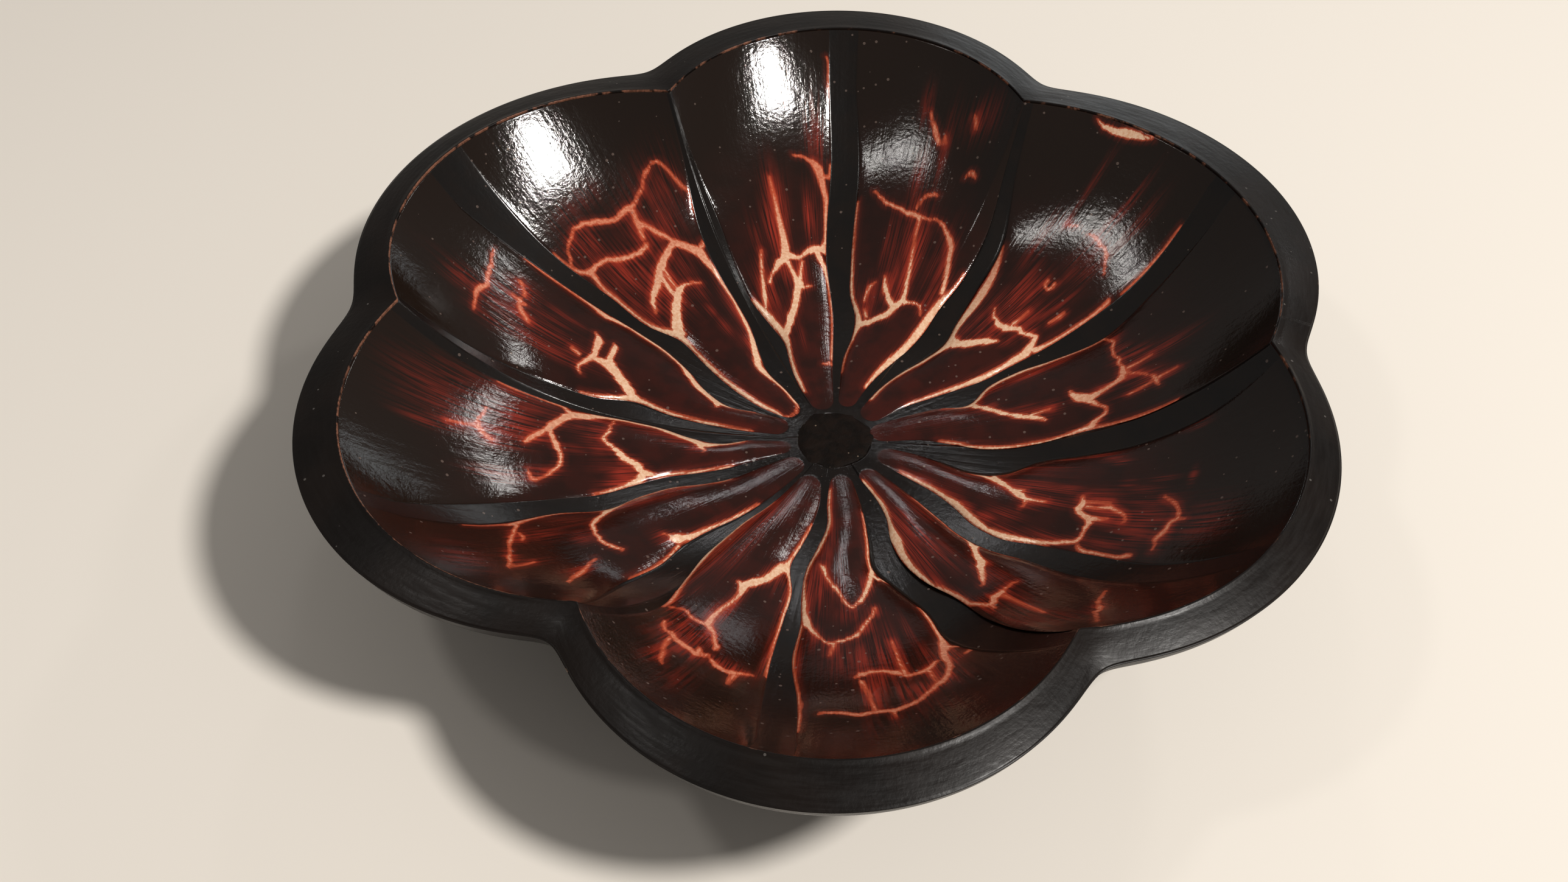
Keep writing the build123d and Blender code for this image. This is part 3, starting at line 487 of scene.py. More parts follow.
         (318.7, 50, 1.5), (319.2, 52, 1.5), (320, 54.7, 1.4), (321, 57.5, 1.4), (321.9, 60, 1.2),
         (322.6, 62.3, 1.1), (323.1, 64.2, 1.1), (323.7, 65.2, 1.2), (325, 65.4, 1.0),
         (326.3, 65.4, 0.9), (327.6, 65.3, 1.2), (328.6, 64.9, 1.8), (329.3, 64.3, 1.8),
         (329.7, 63.2, 1.4), (330.5, 62, 1.8), (331.5, 61.8, 2.0), (332.7, 61.7, 1.7),
         (333.8, 61.6, 1.1), (334.7, 61.6, 0.5)],
        [(329.2, 65.5, 1.7), (329.3, 67, 0.9), (329.6, 68.2, 0.4)],
        [(332, 63, 0.9), (331.9, 65, 0.7), (332.2, 67, 1.1), (332.4, 68.3, 1.3), (331.8, 69.5, 1.1),
         (331.2, 71, 0.9), (330.4, 72, 0.7), (329.2, 72.2, 0.4)],
        [(333.3, 62.5, 0.7), (333.4, 65, 0.5), (333.6, 68, 0.4)],
        [(322.7, 65.6, 0.7), (322.3, 68, 0.8), (322.1, 70, 0.9), (322.1, 73, 0.8),
         (322.2, 75.5, 0.8), (322.5, 77.5, 1.2), (322.5, 78.3, 0.8)],
        [(334.9, 78.5, 0.4), (334.2, 79.8, 0.6), (333.4, 81.2, 0.6), (332.6, 82.2, 0.8),
         (331.6, 82.5, 0.8), (330.8, 83, 0.8), (330, 83.2, 0.9), (329.5, 82.2, 1.2),
         (328.3, 82, 1.2), (327.3, 81.5, 1.2), (326.5, 80.9, 1.3), (325.8, 80.6, 0.8),
         (325, 81.3, 0.4), (323.8, 82, 0.3)],
        [(330, 83.6, 0.7), (330, 84.6, 0.4)],
    ],
    "petal_back_right": [
        [(357.5, 25, 0.3), (356.8, 26.3, 0.5), (355.9, 28, 0.6), (354.8, 30, 0.6), (354, 32, 0.6),
         (353.4, 34, 0.6), (353.1, 36.5, 0.65), (353, 40, 0.65), (353.2, 43, 0.65),
         (353.7, 47, 0.6), (354.3, 51, 0.5), (354.8, 54, 0.6), (355.3, 56.5, 0.9),
         (355.8, 58.5, 1.2), (356.2, 59.8, 1.6), (357, 61.2, 1.5), (357.8, 62.4, 1.1),
         (358.6, 63.5, 0.9), (359.4, 63.8, 0.8), (360.2, 63.3, 0.9), (361, 62.5, 0.9),
         (362, 61.6, 1.2), (363, 60.8, 1.8), (364, 60.6, 3.0), (365, 58.9, 3.0), (366.1, 57.8, 2.0),
         (367.2, 57.3, 1.0), (368, 57, 0.5)],
        [(355.8, 60, 0.5), (355.2, 63, 0.45), (355, 66, 0.45), (354.9, 70, 0.55), (354.9, 74, 0.5),
         (355, 78, 0.35)],
        [(379.5, 28.5, 0.4), (378.8, 29.5, 0.5), (378.1, 30.7, 0.6), (377.2, 32, 0.8),
         (376.5, 33.2, 1.0), (376, 34.3, 1.6), (375.5, 35.2, 2.0)],
        [(379.8, 69, 0.9), (379.9, 66, 0.9), (380.5, 62, 0.9), (381, 58, 1.1), (381.5, 55, 1.3),
         (382, 51, 1.45), (382.2, 47, 1.45), (382.2, 44.5, 1.35), (382, 43, 1.3), (381.2, 41, 1.2),
         (380, 39, 1.2), (378.8, 37.2, 1.3), (377.4, 35.9, 1.5), (375.9, 35.3, 1.9),
         (374.3, 35.5, 1.7), (372.9, 36.3, 1.6), (371.1, 37.5, 1.5), (369.5, 38.8, 1.5),
         (367.9, 39.8, 1.6), (366.5, 40.9, 1.6), (365.1, 42.5, 1.4), (364, 44, 1.4),
         (363.2, 45.7, 1.5), (362.4, 47.7, 1.7), (361.5, 49.3, 1.3), (360.6, 50.2, 0.6)],
        [(363.4, 47.5, 0.8), (363.7, 50, 0.6), (363.9, 52, 0.4)],
        [(379.6, 69, 0.9), (379.3, 70.6, 0.9), (378.3, 71.3, 0.6), (377.4, 71.8, 0.8),
         (376.3, 71.3, 0.8), (375.2, 70.4, 0.6), (374, 70.2, 0.7), (372.6, 70, 0.6),
         (370.8, 69.7, 0.9), (369.4, 69.9, 1.0), (368.1, 69.4, 1.8), (367.2, 69.3, 2.0),
         (366.5, 68.7, 1.8), (365.8, 67.3, 1.2), (365.1, 65, 1.4), (364.5, 62.8, 1.6),
         (364, 61, 2.6)],
        [(367.2, 70, 1.0), (366, 71.6, 0.6), (365, 72.8, 0.5), (364, 74.1, 0.6), (363, 75, 1.1),
         (362, 75.3, 1.3), (361, 75.3, 0.7), (360.5, 75.3, 0.3)],
        [(362.5, 76, 0.9), (362.7, 78, 0.5), (362.9, 80, 0.3)],
        [(362.2, 75, 0.7), (361.7, 72, 0.4), (361.2, 69, 0.35)],
        [(368.3, 70.5, 0.9), (368.4, 73, 0.6), (368.8, 76, 0.35)],
        [(414.6, 16, 0.9), (414.4, 18, 1.0), (414.1, 20, 0.9), (413.5, 22, 0.9), (412.8, 24, 1.0),
         (411.9, 26, 1.1), (410.8, 28, 1.2), (409.6, 30, 1.3), (408.7, 32, 1.3), (408, 34, 1.3),
         (407.3, 36, 1.3), (406.6, 38, 1.6), (406, 40, 2.3), (405.5, 41.8, 3.0), (406, 43.4, 2.6),
         (406.9, 45, 1.8), (407.4, 47, 1.8), (407.7, 49, 1.9), (408, 51, 2.1), (408.2, 53, 2.4),
         (408.4, 55.5, 2.7), (408.7, 58.5, 2.8), (409, 61, 2.6), (409.4, 64, 2.2), (410, 67, 1.6),
         (410.6, 69.5, 1.0), (411, 71.5, 0.6)],
        [(405.5, 41.8, 3.0), (403.5, 42.6, 3.2), (401.8, 43.1, 3.0), (400.5, 43.9, 2.8),
         (399.2, 44.9, 2.5), (398.2, 46, 2.4), (397.3, 47, 2.3), (396.2, 48.1, 2.0),
         (395.2, 49.2, 1.5), (394.3, 50, 0.8)],
        [(402.6, 56, 0.5), (401.6, 55, 0.9), (400.6, 54.2, 0.9), (399.5, 54, 1.2),
         (398.5, 53.6, 1.8), (397.4, 53.3, 2.0), (396.4, 53.8, 2.2), (395.5, 54.6, 2.0),
         (394.5, 55.3, 1.8), (393.4, 56, 1.5), (392.2, 56.5, 1.4), (391, 57, 1.4), (390, 57.7, 1.4),
         (389.2, 58, 1.4), (388.5, 57, 1.8), (387.9, 56, 2.2), (387.4, 54.6, 2.3), (387.1, 53, 1.9),
         (387, 51, 1.7), (386.9, 48, 1.3), (386.8, 45, 1.3), (386.8, 42, 1.3), (386.9, 39.5, 1.3),
         (387.3, 37, 1.2), (387.9, 35, 1.15), (388.4, 33, 1.1), (389, 31, 1.0), (389.6, 29, 0.85),
         (390.1, 26.5, 0.75), (390.8, 24.5, 0.6), (391.4, 22.5, 0.6), (391.8, 20.9, 0.4)],
        [(387.2, 56.5, 1.6), (386.5, 58.2, 1.1), (386.1, 60, 0.9), (386, 63, 0.8), (386.1, 66, 0.8),
         (386.3, 70, 0.8), (386.5, 73, 0.9), (386.6, 75.5, 1.0), (386.7, 76.8, 1.0)],
        [(386.1, 80, 0.3), (386.2, 84, 0.5), (386.5, 88, 0.6), (386.9, 91, 0.5), (387.4, 94.5, 0.4),
         (387.9, 97, 0.3)],
        [(395.6, 56.3, 1.1), (395.5, 58.5, 0.5), (395.6, 61, 0.4)],
        [(390.2, 63, 0.4), (389.9, 65.5, 0.8), (390, 67, 0.4)],
        [(398.5, 83, 0.4), (397.3, 83.7, 0.6), (396.2, 83.8, 0.8), (395.2, 83.3, 0.8),
         (394.4, 83.3, 0.6), (393.5, 82.6, 0.7), (392.8, 81.5, 0.5), (392, 80.5, 0.4),
         (391, 79.5, 0.35)],
        [(402.3, 82, 0.5), (401, 83, 0.4)],
        [(407.6, 100.4, 0.5), (406, 100.4, 1.6), (404.3, 101, 2.4), (402.6, 101.8, 2.6),
         (401, 102.8, 1.8), (399.4, 103.8, 0.7)],
        [(398, 69.6, 0.5), (397.9, 68.4, 0.6), (397.3, 67.7, 0.6), (396.6, 67.7, 0.6),
         (396.2, 68.6, 0.6), (396.5, 69.9, 0.5)],
    ],
}
print("veins:", {name: len(lines) for name, lines in VEINS.items()})

# %% [markdown]
# ## Red brush marks
# Between the veins the brown is rubbed through to red, in strokes that run up
# the wall.  They are strongest in a few places, given here as soft patches.

# %% Red patches: (direction, distance, half width in degrees, half length, strength)
GLOWS = {
    "petal_back": [
        (103, 67, 1.6, 8, 1.0), (101, 74, 2, 8, 0.9), (94.2, 71, 1.3, 6.5, 1.0),
        (92.3, 92, 1.4, 7, 0.8), (98, 103, 1.5, 5, 0.4), (109, 48, 3, 8, 0.8),
        (107, 64, 1.5, 6, 0.4), (102, 54, 2, 4, 0.7), (98, 54, 2, 5, 0.7), (103, 34, 2, 4, 0.35),
        (69, 58, 2, 12, 1.0), (72.5, 54, 1.6, 7, 1.0), (74.5, 60, 1.2, 12, 0.7),
        (76.5, 64, 1, 8, 0.6), (71, 64, 2.5, 9, 0.8), (78, 46, 2.5, 6, 0.8), (62, 60, 2, 8, 0.7),
        (60, 50, 3, 5, 0.5), (73, 80, 1.5, 8, 0.5), (70, 88, 1, 8, 0.4), (65, 94, 3, 4, 0.4),
        (74.5, 98, 1, 4, 0.4)
    ],
    "petal_back_left": [
        (161.4, 79, 1.4, 13, 1.0), (165, 74, 1.6, 10, 0.9), (162, 94, 2.2, 4, 0.5),
        (158.5, 75, 1.2, 7, 0.5), (156.5, 84, 2.4, 4, 0.7), (155.5, 73, 1, 6, 0.4),
        (159, 86, 2, 5, 0.5), (164, 85, 3, 6, 0.5), (134, 62, 5, 8, 1.0), (130, 75, 3, 8, 0.8),
        (140, 82, 3, 5, 0.7), (137, 70, 5, 7, 0.9), (128, 64, 3, 6, 0.6), (141, 62, 1.5, 8, 0.6),
        (124, 82, 5, 6, 0.4), (128.3, 50, 1.4, 2.5, 0.6), (128, 44, 1.6, 3.5, 0.6),
        (121, 46, 2, 8, 0.9), (124, 36, 3, 5, 0.7), (127, 57, 2, 4, 0.5), (125, 76, 3, 6, 0.5),
        (137, 90, 5, 3, 0.3)
    ],
    "petal_front_left": [
        (199.3, 53, 1, 4, 0.9), (197, 52, 2.5, 3, 1.0), (195, 53.5, 1.5, 5, 0.6),
        (190, 56, 1.5, 3, 0.8), (187, 57, 2, 3, 0.7), (184, 56, 2, 3, 0.7),
        (180.5, 56, 1.2, 5, 0.6), (190.5, 62, 1.2, 4, 0.5), (184, 61, 1.5, 4, 0.35),
        (193, 50, 1.5, 3, 0.3), (185, 37.5, 2.5, 4, 0.9), (189, 34, 2, 2, 0.9),
        (182, 42, 1.6, 5, 0.6), (179.8, 48, 0.8, 6, 0.6), (188.5, 70, 1.5, 3, 0.9),
        (196.5, 70, 1.5, 4, 0.6), (198, 79, 1.2, 6, 0.9), (191.5, 78, 1.5, 5, 0.9),
        (189.3, 77, 1.6, 6, 1.0), (187.5, 74, 1.5, 5, 0.9), (184.3, 75, 2, 5, 0.9),
        (181.5, 72, 2, 6, 0.6), (180, 76, 1.5, 6, 0.5), (190, 88, 1.5, 5, 0.8),
        (191.3, 93, 1, 5, 0.5), (186, 90, 4, 8, 0.4), (182.5, 84, 3, 8, 0.4),
        (207.5, 50, 1.8, 6, 0.5), (206.5, 41, 1.5, 5, 0.7), (208, 44, 2, 6, 0.35),
        (206, 36, 1.5, 4, 0.4), (215, 69, 2, 2.5, 0.5), (209.5, 70, 1.5, 5, 0.5),
        (212, 77, 2, 5, 0.5), (217.5, 87, 2, 2, 0.6), (219.3, 84, 0.8, 4, 0.5),
        (212.2, 82.5, 2, 2, 0.7), (223, 76, 1.2, 4, 0.5), (218, 97, 4, 6, 0.3),
        (222, 53, 2.5, 2, 0.6)
    ],
    "petal_front": [
        (280, 86, 3, 3, 0.8), (277.5, 86, 1, 5, 0.7), (273.5, 85, 1.6, 6, 0.9),
        (275, 80, 2, 6, 0.9), (282.5, 81, 1.5, 4, 0.9), (278.8, 72, 1.2, 9, 0.9),
        (276, 72, 2, 8, 0.7), (273, 72, 2, 6, 0.7), (270, 72, 3, 6, 0.5), (283, 74, 1.5, 5, 0.5),
        (282.3, 66, 0.8, 6, 0.5), (275, 62, 2, 3, 0.6), (277.5, 57, 2, 2, 0.5),
        (268, 68, 2, 3, 0.7), (264.5, 64, 1.5, 4, 0.4), (262.5, 72, 1, 6, 0.4),
        (272, 57, 3, 3, 0.5), (277, 47.5, 2, 3, 0.5), (265, 47, 3, 8, 0.9),
        (262.5, 50, 1.2, 8, 1.0), (263, 44, 1.5, 4, 0.9), (266.5, 38, 2, 4, 0.9),
        (268.5, 33, 1.5, 4, 0.7), (267, 27, 1.5, 4, 0.9), (266.5, 21, 1.5, 4, 0.8),
        (266, 15, 2, 3, 0.5), (270, 44, 2, 8, 0.3), (275.3, 96, 0.8, 4, 0.5),
        (272.5, 98, 1, 6, 0.3), (287, 77, 1.5, 4, 0.6), (284.5, 84.5, 2, 3, 0.7),
        (280, 94, 4, 5, 0.25), (247.8, 74, 1.5, 4, 0.8), (245.5, 76, 2.5, 4, 1.0),
        (243, 74.5, 2, 4, 0.9), (241, 71.5, 2, 2.5, 0.7), (253, 80.5, 3, 2, 0.7),
        (247, 83, 3, 2, 0.6), (245, 88, 1.4, 5, 0.6), (242.5, 81, 1.5, 4, 0.5),
        (237, 75, 1.5, 4, 0.7), (238.5, 68, 1, 4, 0.5), (247.8, 62, 1, 6, 0.6),
        (245.3, 65, 1, 5, 0.5), (239.8, 62, 0.8, 3, 0.3), (250.3, 48, 1.5, 4, 0.4),
        (253.8, 48, 1.5, 4, 0.4), (241, 42, 2, 10, 0.5), (237, 50, 2, 8, 0.6),
        (235.5, 40, 2, 12, 1.0), (238, 30, 3, 8, 0.8), (242, 25, 3, 8, 0.4), (235, 25, 1.5, 5, 0.5),
        (256.5, 52, 0.8, 6, 0.4), (257.2, 70, 0.6, 10, 0.5), (249.5, 93, 2, 6, 0.3)
    ],
    "petal_front_right": [
        (335.5, 50, 2.2, 9, 1.0), (334, 46, 2, 5, 1.0), (332, 53, 1.5, 6, 0.9),
        (337, 47, 1.5, 8, 0.8), (329.5, 51, 1.2, 3, 0.7), (327.5, 49.2, 3, 1, 0.5),
        (336.5, 57, 1.2, 4, 0.7), (334, 60, 1.5, 3, 0.6), (341, 42, 3, 3, 0.5),
        (345, 46.5, 2, 2.5, 0.5), (347.8, 55, 1, 5, 0.7), (347.8, 62, 1, 4, 0.7),
        (346, 65.5, 1, 2.5, 0.7), (344.8, 67.5, 1, 2, 0.5), (343, 50, 3, 8, 0.3),
        (324.5, 46.5, 2, 4, 0.7), (321.5, 43.5, 2, 2.5, 0.9), (322.3, 37.5, 1.5, 2.5, 0.8),
        (324.7, 30, 1, 6, 0.5), (326.5, 28, 2, 8, 0.35), (333.5, 66, 1.6, 6, 0.9),
        (335.5, 65, 1.5, 5, 0.7), (331.8, 68, 1.5, 5, 0.9), (330, 70, 2, 5, 0.9),
        (330.5, 76, 2, 6, 0.9), (333.5, 76, 1.5, 6, 0.7), (327, 76, 2.5, 5, 0.7),
        (328, 82.5, 4, 2, 0.6), (329, 89, 3.5, 5, 0.5), (324.3, 71, 1.2, 6, 0.4),
        (338.5, 83, 1.5, 0.8, 0.6), (349, 82, 0.8, 2.5, 0.5), (338.5, 70, 1, 2, 0.4),
        (336.8, 74, 0.8, 4, 0.4), (339, 77, 0.6, 3, 0.3), (338.3, 36, 0.9, 3, 0.8),
        (339.5, 31, 1.5, 4, 0.4), (341.5, 26, 1.2, 3, 0.4), (335, 30, 5, 8, 0.25),
        (320.7, 50, 0.9, 7, 0.6), (322.8, 58, 0.8, 5, 0.5), (297.5, 34, 3, 7, 1.0),
        (299.5, 40, 2, 9, 0.9), (302.5, 45, 1.5, 6, 0.5), (294.5, 42, 2, 8, 0.9),
        (300, 30, 2, 4, 0.7), (293.8, 52, 1, 6, 0.5), (306.5, 54.5, 1.5, 2, 0.5),
        (303, 53.5, 1, 2, 0.4), (305, 60, 3, 4, 0.4), (304, 63.5, 3, 2, 0.5),
        (301.3, 66, 1.8, 2.5, 0.9), (301.4, 73, 0.8, 7, 0.8), (298.8, 64, 1.5, 1.5, 0.6),
        (296.5, 68, 1, 3, 0.5), (298, 78, 3, 8, 0.45), (302, 82, 2, 6, 0.3), (307, 85, 2.5, 2, 0.5),
        (312.2, 33, 0.8, 5, 0.5), (308, 31, 3, 6, 0.3), (311, 24, 3, 6, 0.3), (302, 69, 3, 6, 0.4)
    ],
    "petal_back_right": [
        (397.5, 51, 2, 2.5, 1.0), (396, 56, 2, 2, 0.8), (395.5, 60, 1, 5, 1.0),
        (393, 62, 1.2, 6, 0.9), (391.5, 58.5, 1.2, 2.5, 0.8), (398.5, 63, 1.2, 6, 0.9),
        (400.5, 62, 1.6, 7, 0.9), (402, 65, 1, 6, 0.7), (392.5, 68, 1.2, 5, 0.7),
        (389.8, 64.5, 0.5, 3, 0.8), (397, 58, 2, 3, 0.7), (402.5, 52, 3, 4, 0.7),
        (400, 49, 2, 2.5, 0.6), (403.5, 48, 2, 3, 0.6), (404.5, 44.7, 1.5, 1, 0.8),
        (392.3, 52.5, 1.2, 2.5, 0.6), (395.5, 74, 0.8, 4, 0.7), (396, 80, 2, 5, 0.5),
        (396.3, 90, 0.5, 7, 0.8), (396.5, 86, 1, 4, 0.5), (393, 90, 1, 6, 0.5),
        (403.2, 90, 0.5, 8, 0.35), (405.3, 79, 1, 4, 0.5), (403, 82.5, 1.5, 2, 0.6),
        (393.5, 77, 1.2, 4, 0.5), (405, 74, 1.5, 6, 0.4), (400, 60, 3, 8, 0.5),
        (403.5, 58, 2, 5, 0.4), (379.3, 50, 1.6, 6, 1.0), (379.5, 42, 1.2, 3, 1.0),
        (378.5, 38, 1, 2, 0.6), (380.6, 60, 0.7, 7, 0.7), (379.2, 58, 1.2, 5, 0.5),
        (364.5, 52, 2, 2.5, 0.9), (365.3, 48, 1, 5, 0.6), (367, 45, 1.2, 4, 0.5),
        (371.5, 39.5, 2, 1.2, 0.5), (376, 37.2, 2, 1, 0.6), (366.5, 71, 2.5, 3, 0.7),
        (370.5, 73, 2, 4, 0.7), (374, 72, 2, 2, 0.4), (378, 72.5, 2, 2, 0.5),
        (369, 78, 1.6, 7, 0.5), (364, 74, 2, 4, 0.5), (362.3, 77.5, 1, 3, 0.8),
        (361.3, 70, 1, 5, 0.4), (365.5, 64, 1.4, 3, 0.5), (378.2, 29.5, 1.5, 2.5, 0.7),
        (380.5, 25, 1.5, 4, 0.4), (370, 30, 6, 10, 0.3), (357, 62, 1.5, 1.5, 0.4)
    ],
}
print("red patches:", {name: len(spots) for name, spots in GLOWS.items()})

# %% [markdown]
# ### From a list to a drawn line
# A vein that runs along a finger is laid exactly on its edge, so it sits in the
# crease.  The veins are then drawn twice, once as they are and once dragged up and
# down the wall by the strokes of a brush, and the wider of the two shows.

# %% Drawing the veins
VEIN_SHARE = 0.88                 # a vein is drawn at this share of its listed width
PULL_GAP, PULL_FADE = 1.5, 0.7    # mm: a vein this near an edge is pulled onto it
EDGE_LAP = 0.1                    # mm that a pulled vein laps over the edge
VEIN_REACH = 6                    # mm beyond which a vein isn't looked for
NO_VEIN = -8.0                    # the depth where there is none
STROKES = ((0.7, 9.0, 0.45), (1.8, 16.0, 0.4))   # degrees wide, mm long, mm of drag
BRUSHED_DEGREES, BRUSHED_LENGTH = 130, 140       # what the brush strokes cover
MIDDLE_RIM = 104.0                # mm from the axis to a rim of middling size


def on_the_creases(petal, line):
    """Splits a vein into short steps, and lays it on the edge of a finger beside it."""
    line = np.array(line, float)
    steps = np.linspace(0, len(line) - 1, 3 * (len(line) - 1) + 1)
    direction, distance, width = (np.interp(steps, np.arange(len(line)), line[:, k])
                                  for k in range(3))
    width = width * VEIN_SHARE
    mm_per_degree = np.radians(1) * distance
    for finger in (2 * petal, 2 * petal + 1):
        for side, inwards in ((0, 1), (1, -1)):
            edge = finger_edge(finger, side, distance)
            gap = np.abs(direction - edge) * mm_per_degree
            pull = np.clip((PULL_GAP - gap) / PULL_FADE, 0, 1)
            target = edge + inwards * (width / 2 - EDGE_LAP) / mm_per_degree
            direction = direction + (target - direction) * pull
    return np.stack([direction, distance, width], axis=1)


def nearest_vein(petal, degrees, distance, length):
    """How deep inside the nearest vein each point lies, in mm; below zero outside."""
    depth = np.full(degrees.shape, NO_VEIN)
    mm_per_degree = np.radians(1) * np.maximum(distance, 5.0)
    for line in VEINS[PETALS[petal]]:
        points = on_the_creases(petal, line)
        for (d0, r0, w0), (d1, r1, w1) in zip(points, points[1:]):
            l0, l1 = unrolled(r0), unrolled(r1)
            beside = (np.abs(degrees - (d0 + d1) / 2) - abs(d1 - d0) / 2) * mm_per_degree
            close = np.nonzero((beside < VEIN_REACH) & (length > min(l0, l1) - VEIN_REACH)
                               & (length < max(l0, l1) + VEIN_REACH))[0]
            scale = mm_per_degree[close]
            along_x, along_y = (d1 - d0) * scale, l1 - l0
            x, y = (degrees[close] - d0) * scale, length[close] - l0
            t = (x * along_x + y * along_y) / (along_x ** 2 + along_y ** 2 + 1e-9)
            t = np.clip(t, 0, 1)
            gap = np.hypot(x - t * along_x, y - t * along_y)
            depth[close] = np.maximum(depth[close], (w0 + (w1 - w0) * t) / 2 - gap)
    return depth


def combed(degrees, length, seed):
    """How far the brush dragged the colour up or down the wall, in mm."""
    chance = np.random.RandomState(seed)
    shift = np.zeros(degrees.shape)
    for stroke, run, pull in STROKES:
        table = chance.uniform(-1, 1, (int(BRUSHED_DEGREES / stroke),
                                       int(BRUSHED_LENGTH / run) + 2))
        across, up = (degrees - degrees.min()) / stroke, length / run
        column = np.clip(across.astype(int), 0, table.shape[0] - 2)
        row = np.clip(up.astype(int), 0, table.shape[1] - 2)
        a, b = np.clip(across - column, 0, 1), up - row
        b = b * b * (3 - 2 * b)
        low = table[column, row] * (1 - a) + table[column + 1, row] * a
        high = table[column, row + 1] * (1 - a) + table[column + 1, row + 1] * a
        shift += pull * (low * (1 - b) + high * b)
    return shift


CURVE_DISTANCE, CURVE_HEIGHT = hollow_curve(np.linspace(0, 1, 201), MIDDLE_RIM, 0.5)
CURVE_STEPS = np.hypot(np.diff(CURVE_DISTANCE), np.diff(CURVE_HEIGHT))
CURVE_LENGTH = np.concatenate([[0], np.cumsum(CURVE_STEPS)])


def unrolled(distance):
    """Length up the wall from the centre, as if the petal were rolled out flat."""
    return np.interp(distance, CURVE_DISTANCE, CURVE_LENGTH)


print("a petal rolled out is", round(float(unrolled(MIDDLE_RIM))), "mm long")

# %% [markdown]
# ### From a shape to a piece
# Every piece ends the same way, so the last steps are written once.  Its skin is
# closed into a solid and its normals are turned outwards.  Where its finish needs
# to know how near a point is to an edge or a vein, the vertices keep that number.

# %% Helpers that every piece uses
def thicken(bm, depth):
    """Extrudes the whole skin once and lowers the copy, which closes it."""
    made = bmesh.ops.extrude_face_region(bm, geom=list(bm.faces), use_keep_orig=True)
    lower = [item for item in made["geom"] if isinstance(item, bmesh.types.BMVert)]
    bmesh.ops.translate(bm, verts=lower, vec=(0, 0, -depth * MM))


def to_mesh(bm, name, closed=True):
    if closed:
        bmesh.ops.recalc_face_normals(bm, faces=bm.faces)
    mesh = bpy.data.meshes.new(name)
    bm.to_mesh(mesh)
    bm.free()
    return mesh


def in_plan(mesh):
    """Direction in degrees, distance and height in mm of every vertex."""
    co = np.zeros(len(mesh.vertices) * 3)
    mesh.vertices.foreach_get("co", co)
    x, y, z = (co.reshape(-1, 3) / MM).T
    return np.degrees(np.arctan2(y, x)), np.hypot(x, y), z


def keep(mesh, name, values):
    """Keeps one number for every vertex, for the finish to read."""
    layer = mesh.attributes.new(name, "FLOAT", "POINT")
    layer.data.foreach_set("value", np.ascontiguousarray(values, dtype=np.float32))


def roll_out(mesh, name, across, up):
    """A UV map in metres, from two lengths in mm for every vertex."""
    flat = np.stack([across * MM, up * MM], axis=1)
    corner = np.zeros(len(mesh.loops), dtype=np.int32)
    mesh.loops.foreach_get("vertex_index", corner)
    layer = mesh.uv_layers.new(name=name).uv
    layer.foreach_set("vector", flat[corner].astype(np.float32).ravel())


def as_piece(mesh, name, smooth=True):
    mesh.polygons.foreach_set("use_smooth", [smooth] * len(mesh.polygons))
    piece = bpy.data.objects.new(name, mesh)
    bpy.context.scene.collection.objects.link(piece)
    return piece


print("helpers:", [helper.__name__ for helper in (thicken, to_mesh, in_plan, keep, roll_out,
                                                  as_piece)])

# %% [markdown]
# ## The petals
# A petal is one grid of squares, bent into place.  Its columns don't run dead
# straight: they follow the edges of the two fingers, so every crease of the
# carving falls exactly on a column and stays crisp.  After that the grid is
# extruded downwards once, which makes it a closed piece of wood.

# %% One petal
GROOVE_COLUMNS, FINGER_COLUMNS, PETAL_ROWS = 8, 76, 200
TOP_LAP, UNDERSIDE = 0.1, 3.2      # mm short of the rim, and mm of wood below
GRID_START, GRID_LENGTH = 9.0, 95.0
CURVE_START = 0.005                # share of the curve where the grid begins
SWELL_FADE = 0.12                  # share of the rows over which a finger flattens
ROUND, PARABOLIC = 0.45, 0.55      # how a finger's section is mixed
TIP_BULGE, TIP_LENGTH = 1.6, 7.0
GROOVE_DEPTHS = (-9, 12)           # mm: finger_depth is held between these
FADE_IN_VEIN = 0.3                 # mm that the undragged vein is narrower all round
WIDEST_PETAL = 62                  # degrees
ROLL_RADIUS = 60                   # mm: one degree of the roll is as wide as here
GLOW_FALL = 1.1                    # how fast a red patch fades outwards
FIRST_SEED = 11                    # of the brush strokes of the first petal


def column_places():
    """Each column as a share between two guide lines: corner, four edges, corner."""
    places = []
    counts = (GROOVE_COLUMNS, FINGER_COLUMNS, 2 * GROOVE_COLUMNS, FINGER_COLUMNS,
              GROOVE_COLUMNS)
    for section, count in enumerate(counts):
        for step in range(count):
            share = step / count
            if section in (1, 3):
                share = 0.5 - 0.5 * math.cos(math.pi * share)
            places.append(section + share)
    places.append(5.0)
    return np.array(places)


def bent_columns(petal, places, distance):
    """Direction of each column at its distance from the axis."""
    start, end = petal_span(petal)
    guides = [np.full(distance.shape, start)]
    for finger in (2 * petal, 2 * petal + 1):
        guides += [finger_edge(finger, 0, distance), finger_edge(finger, 1, distance)]
    guides.append(np.full(distance.shape, end))
    guides = np.array(guides)
    section = np.minimum(places.astype(int), 4)
    share = places - section
    rows = np.arange(distance.shape[0])[:, None]
    columns = np.arange(distance.shape[1])[None, :]
    low = guides[section[None, :], rows, columns]
    high = guides[section[None, :] + 1, rows, columns]
    return low + (high - low) * share


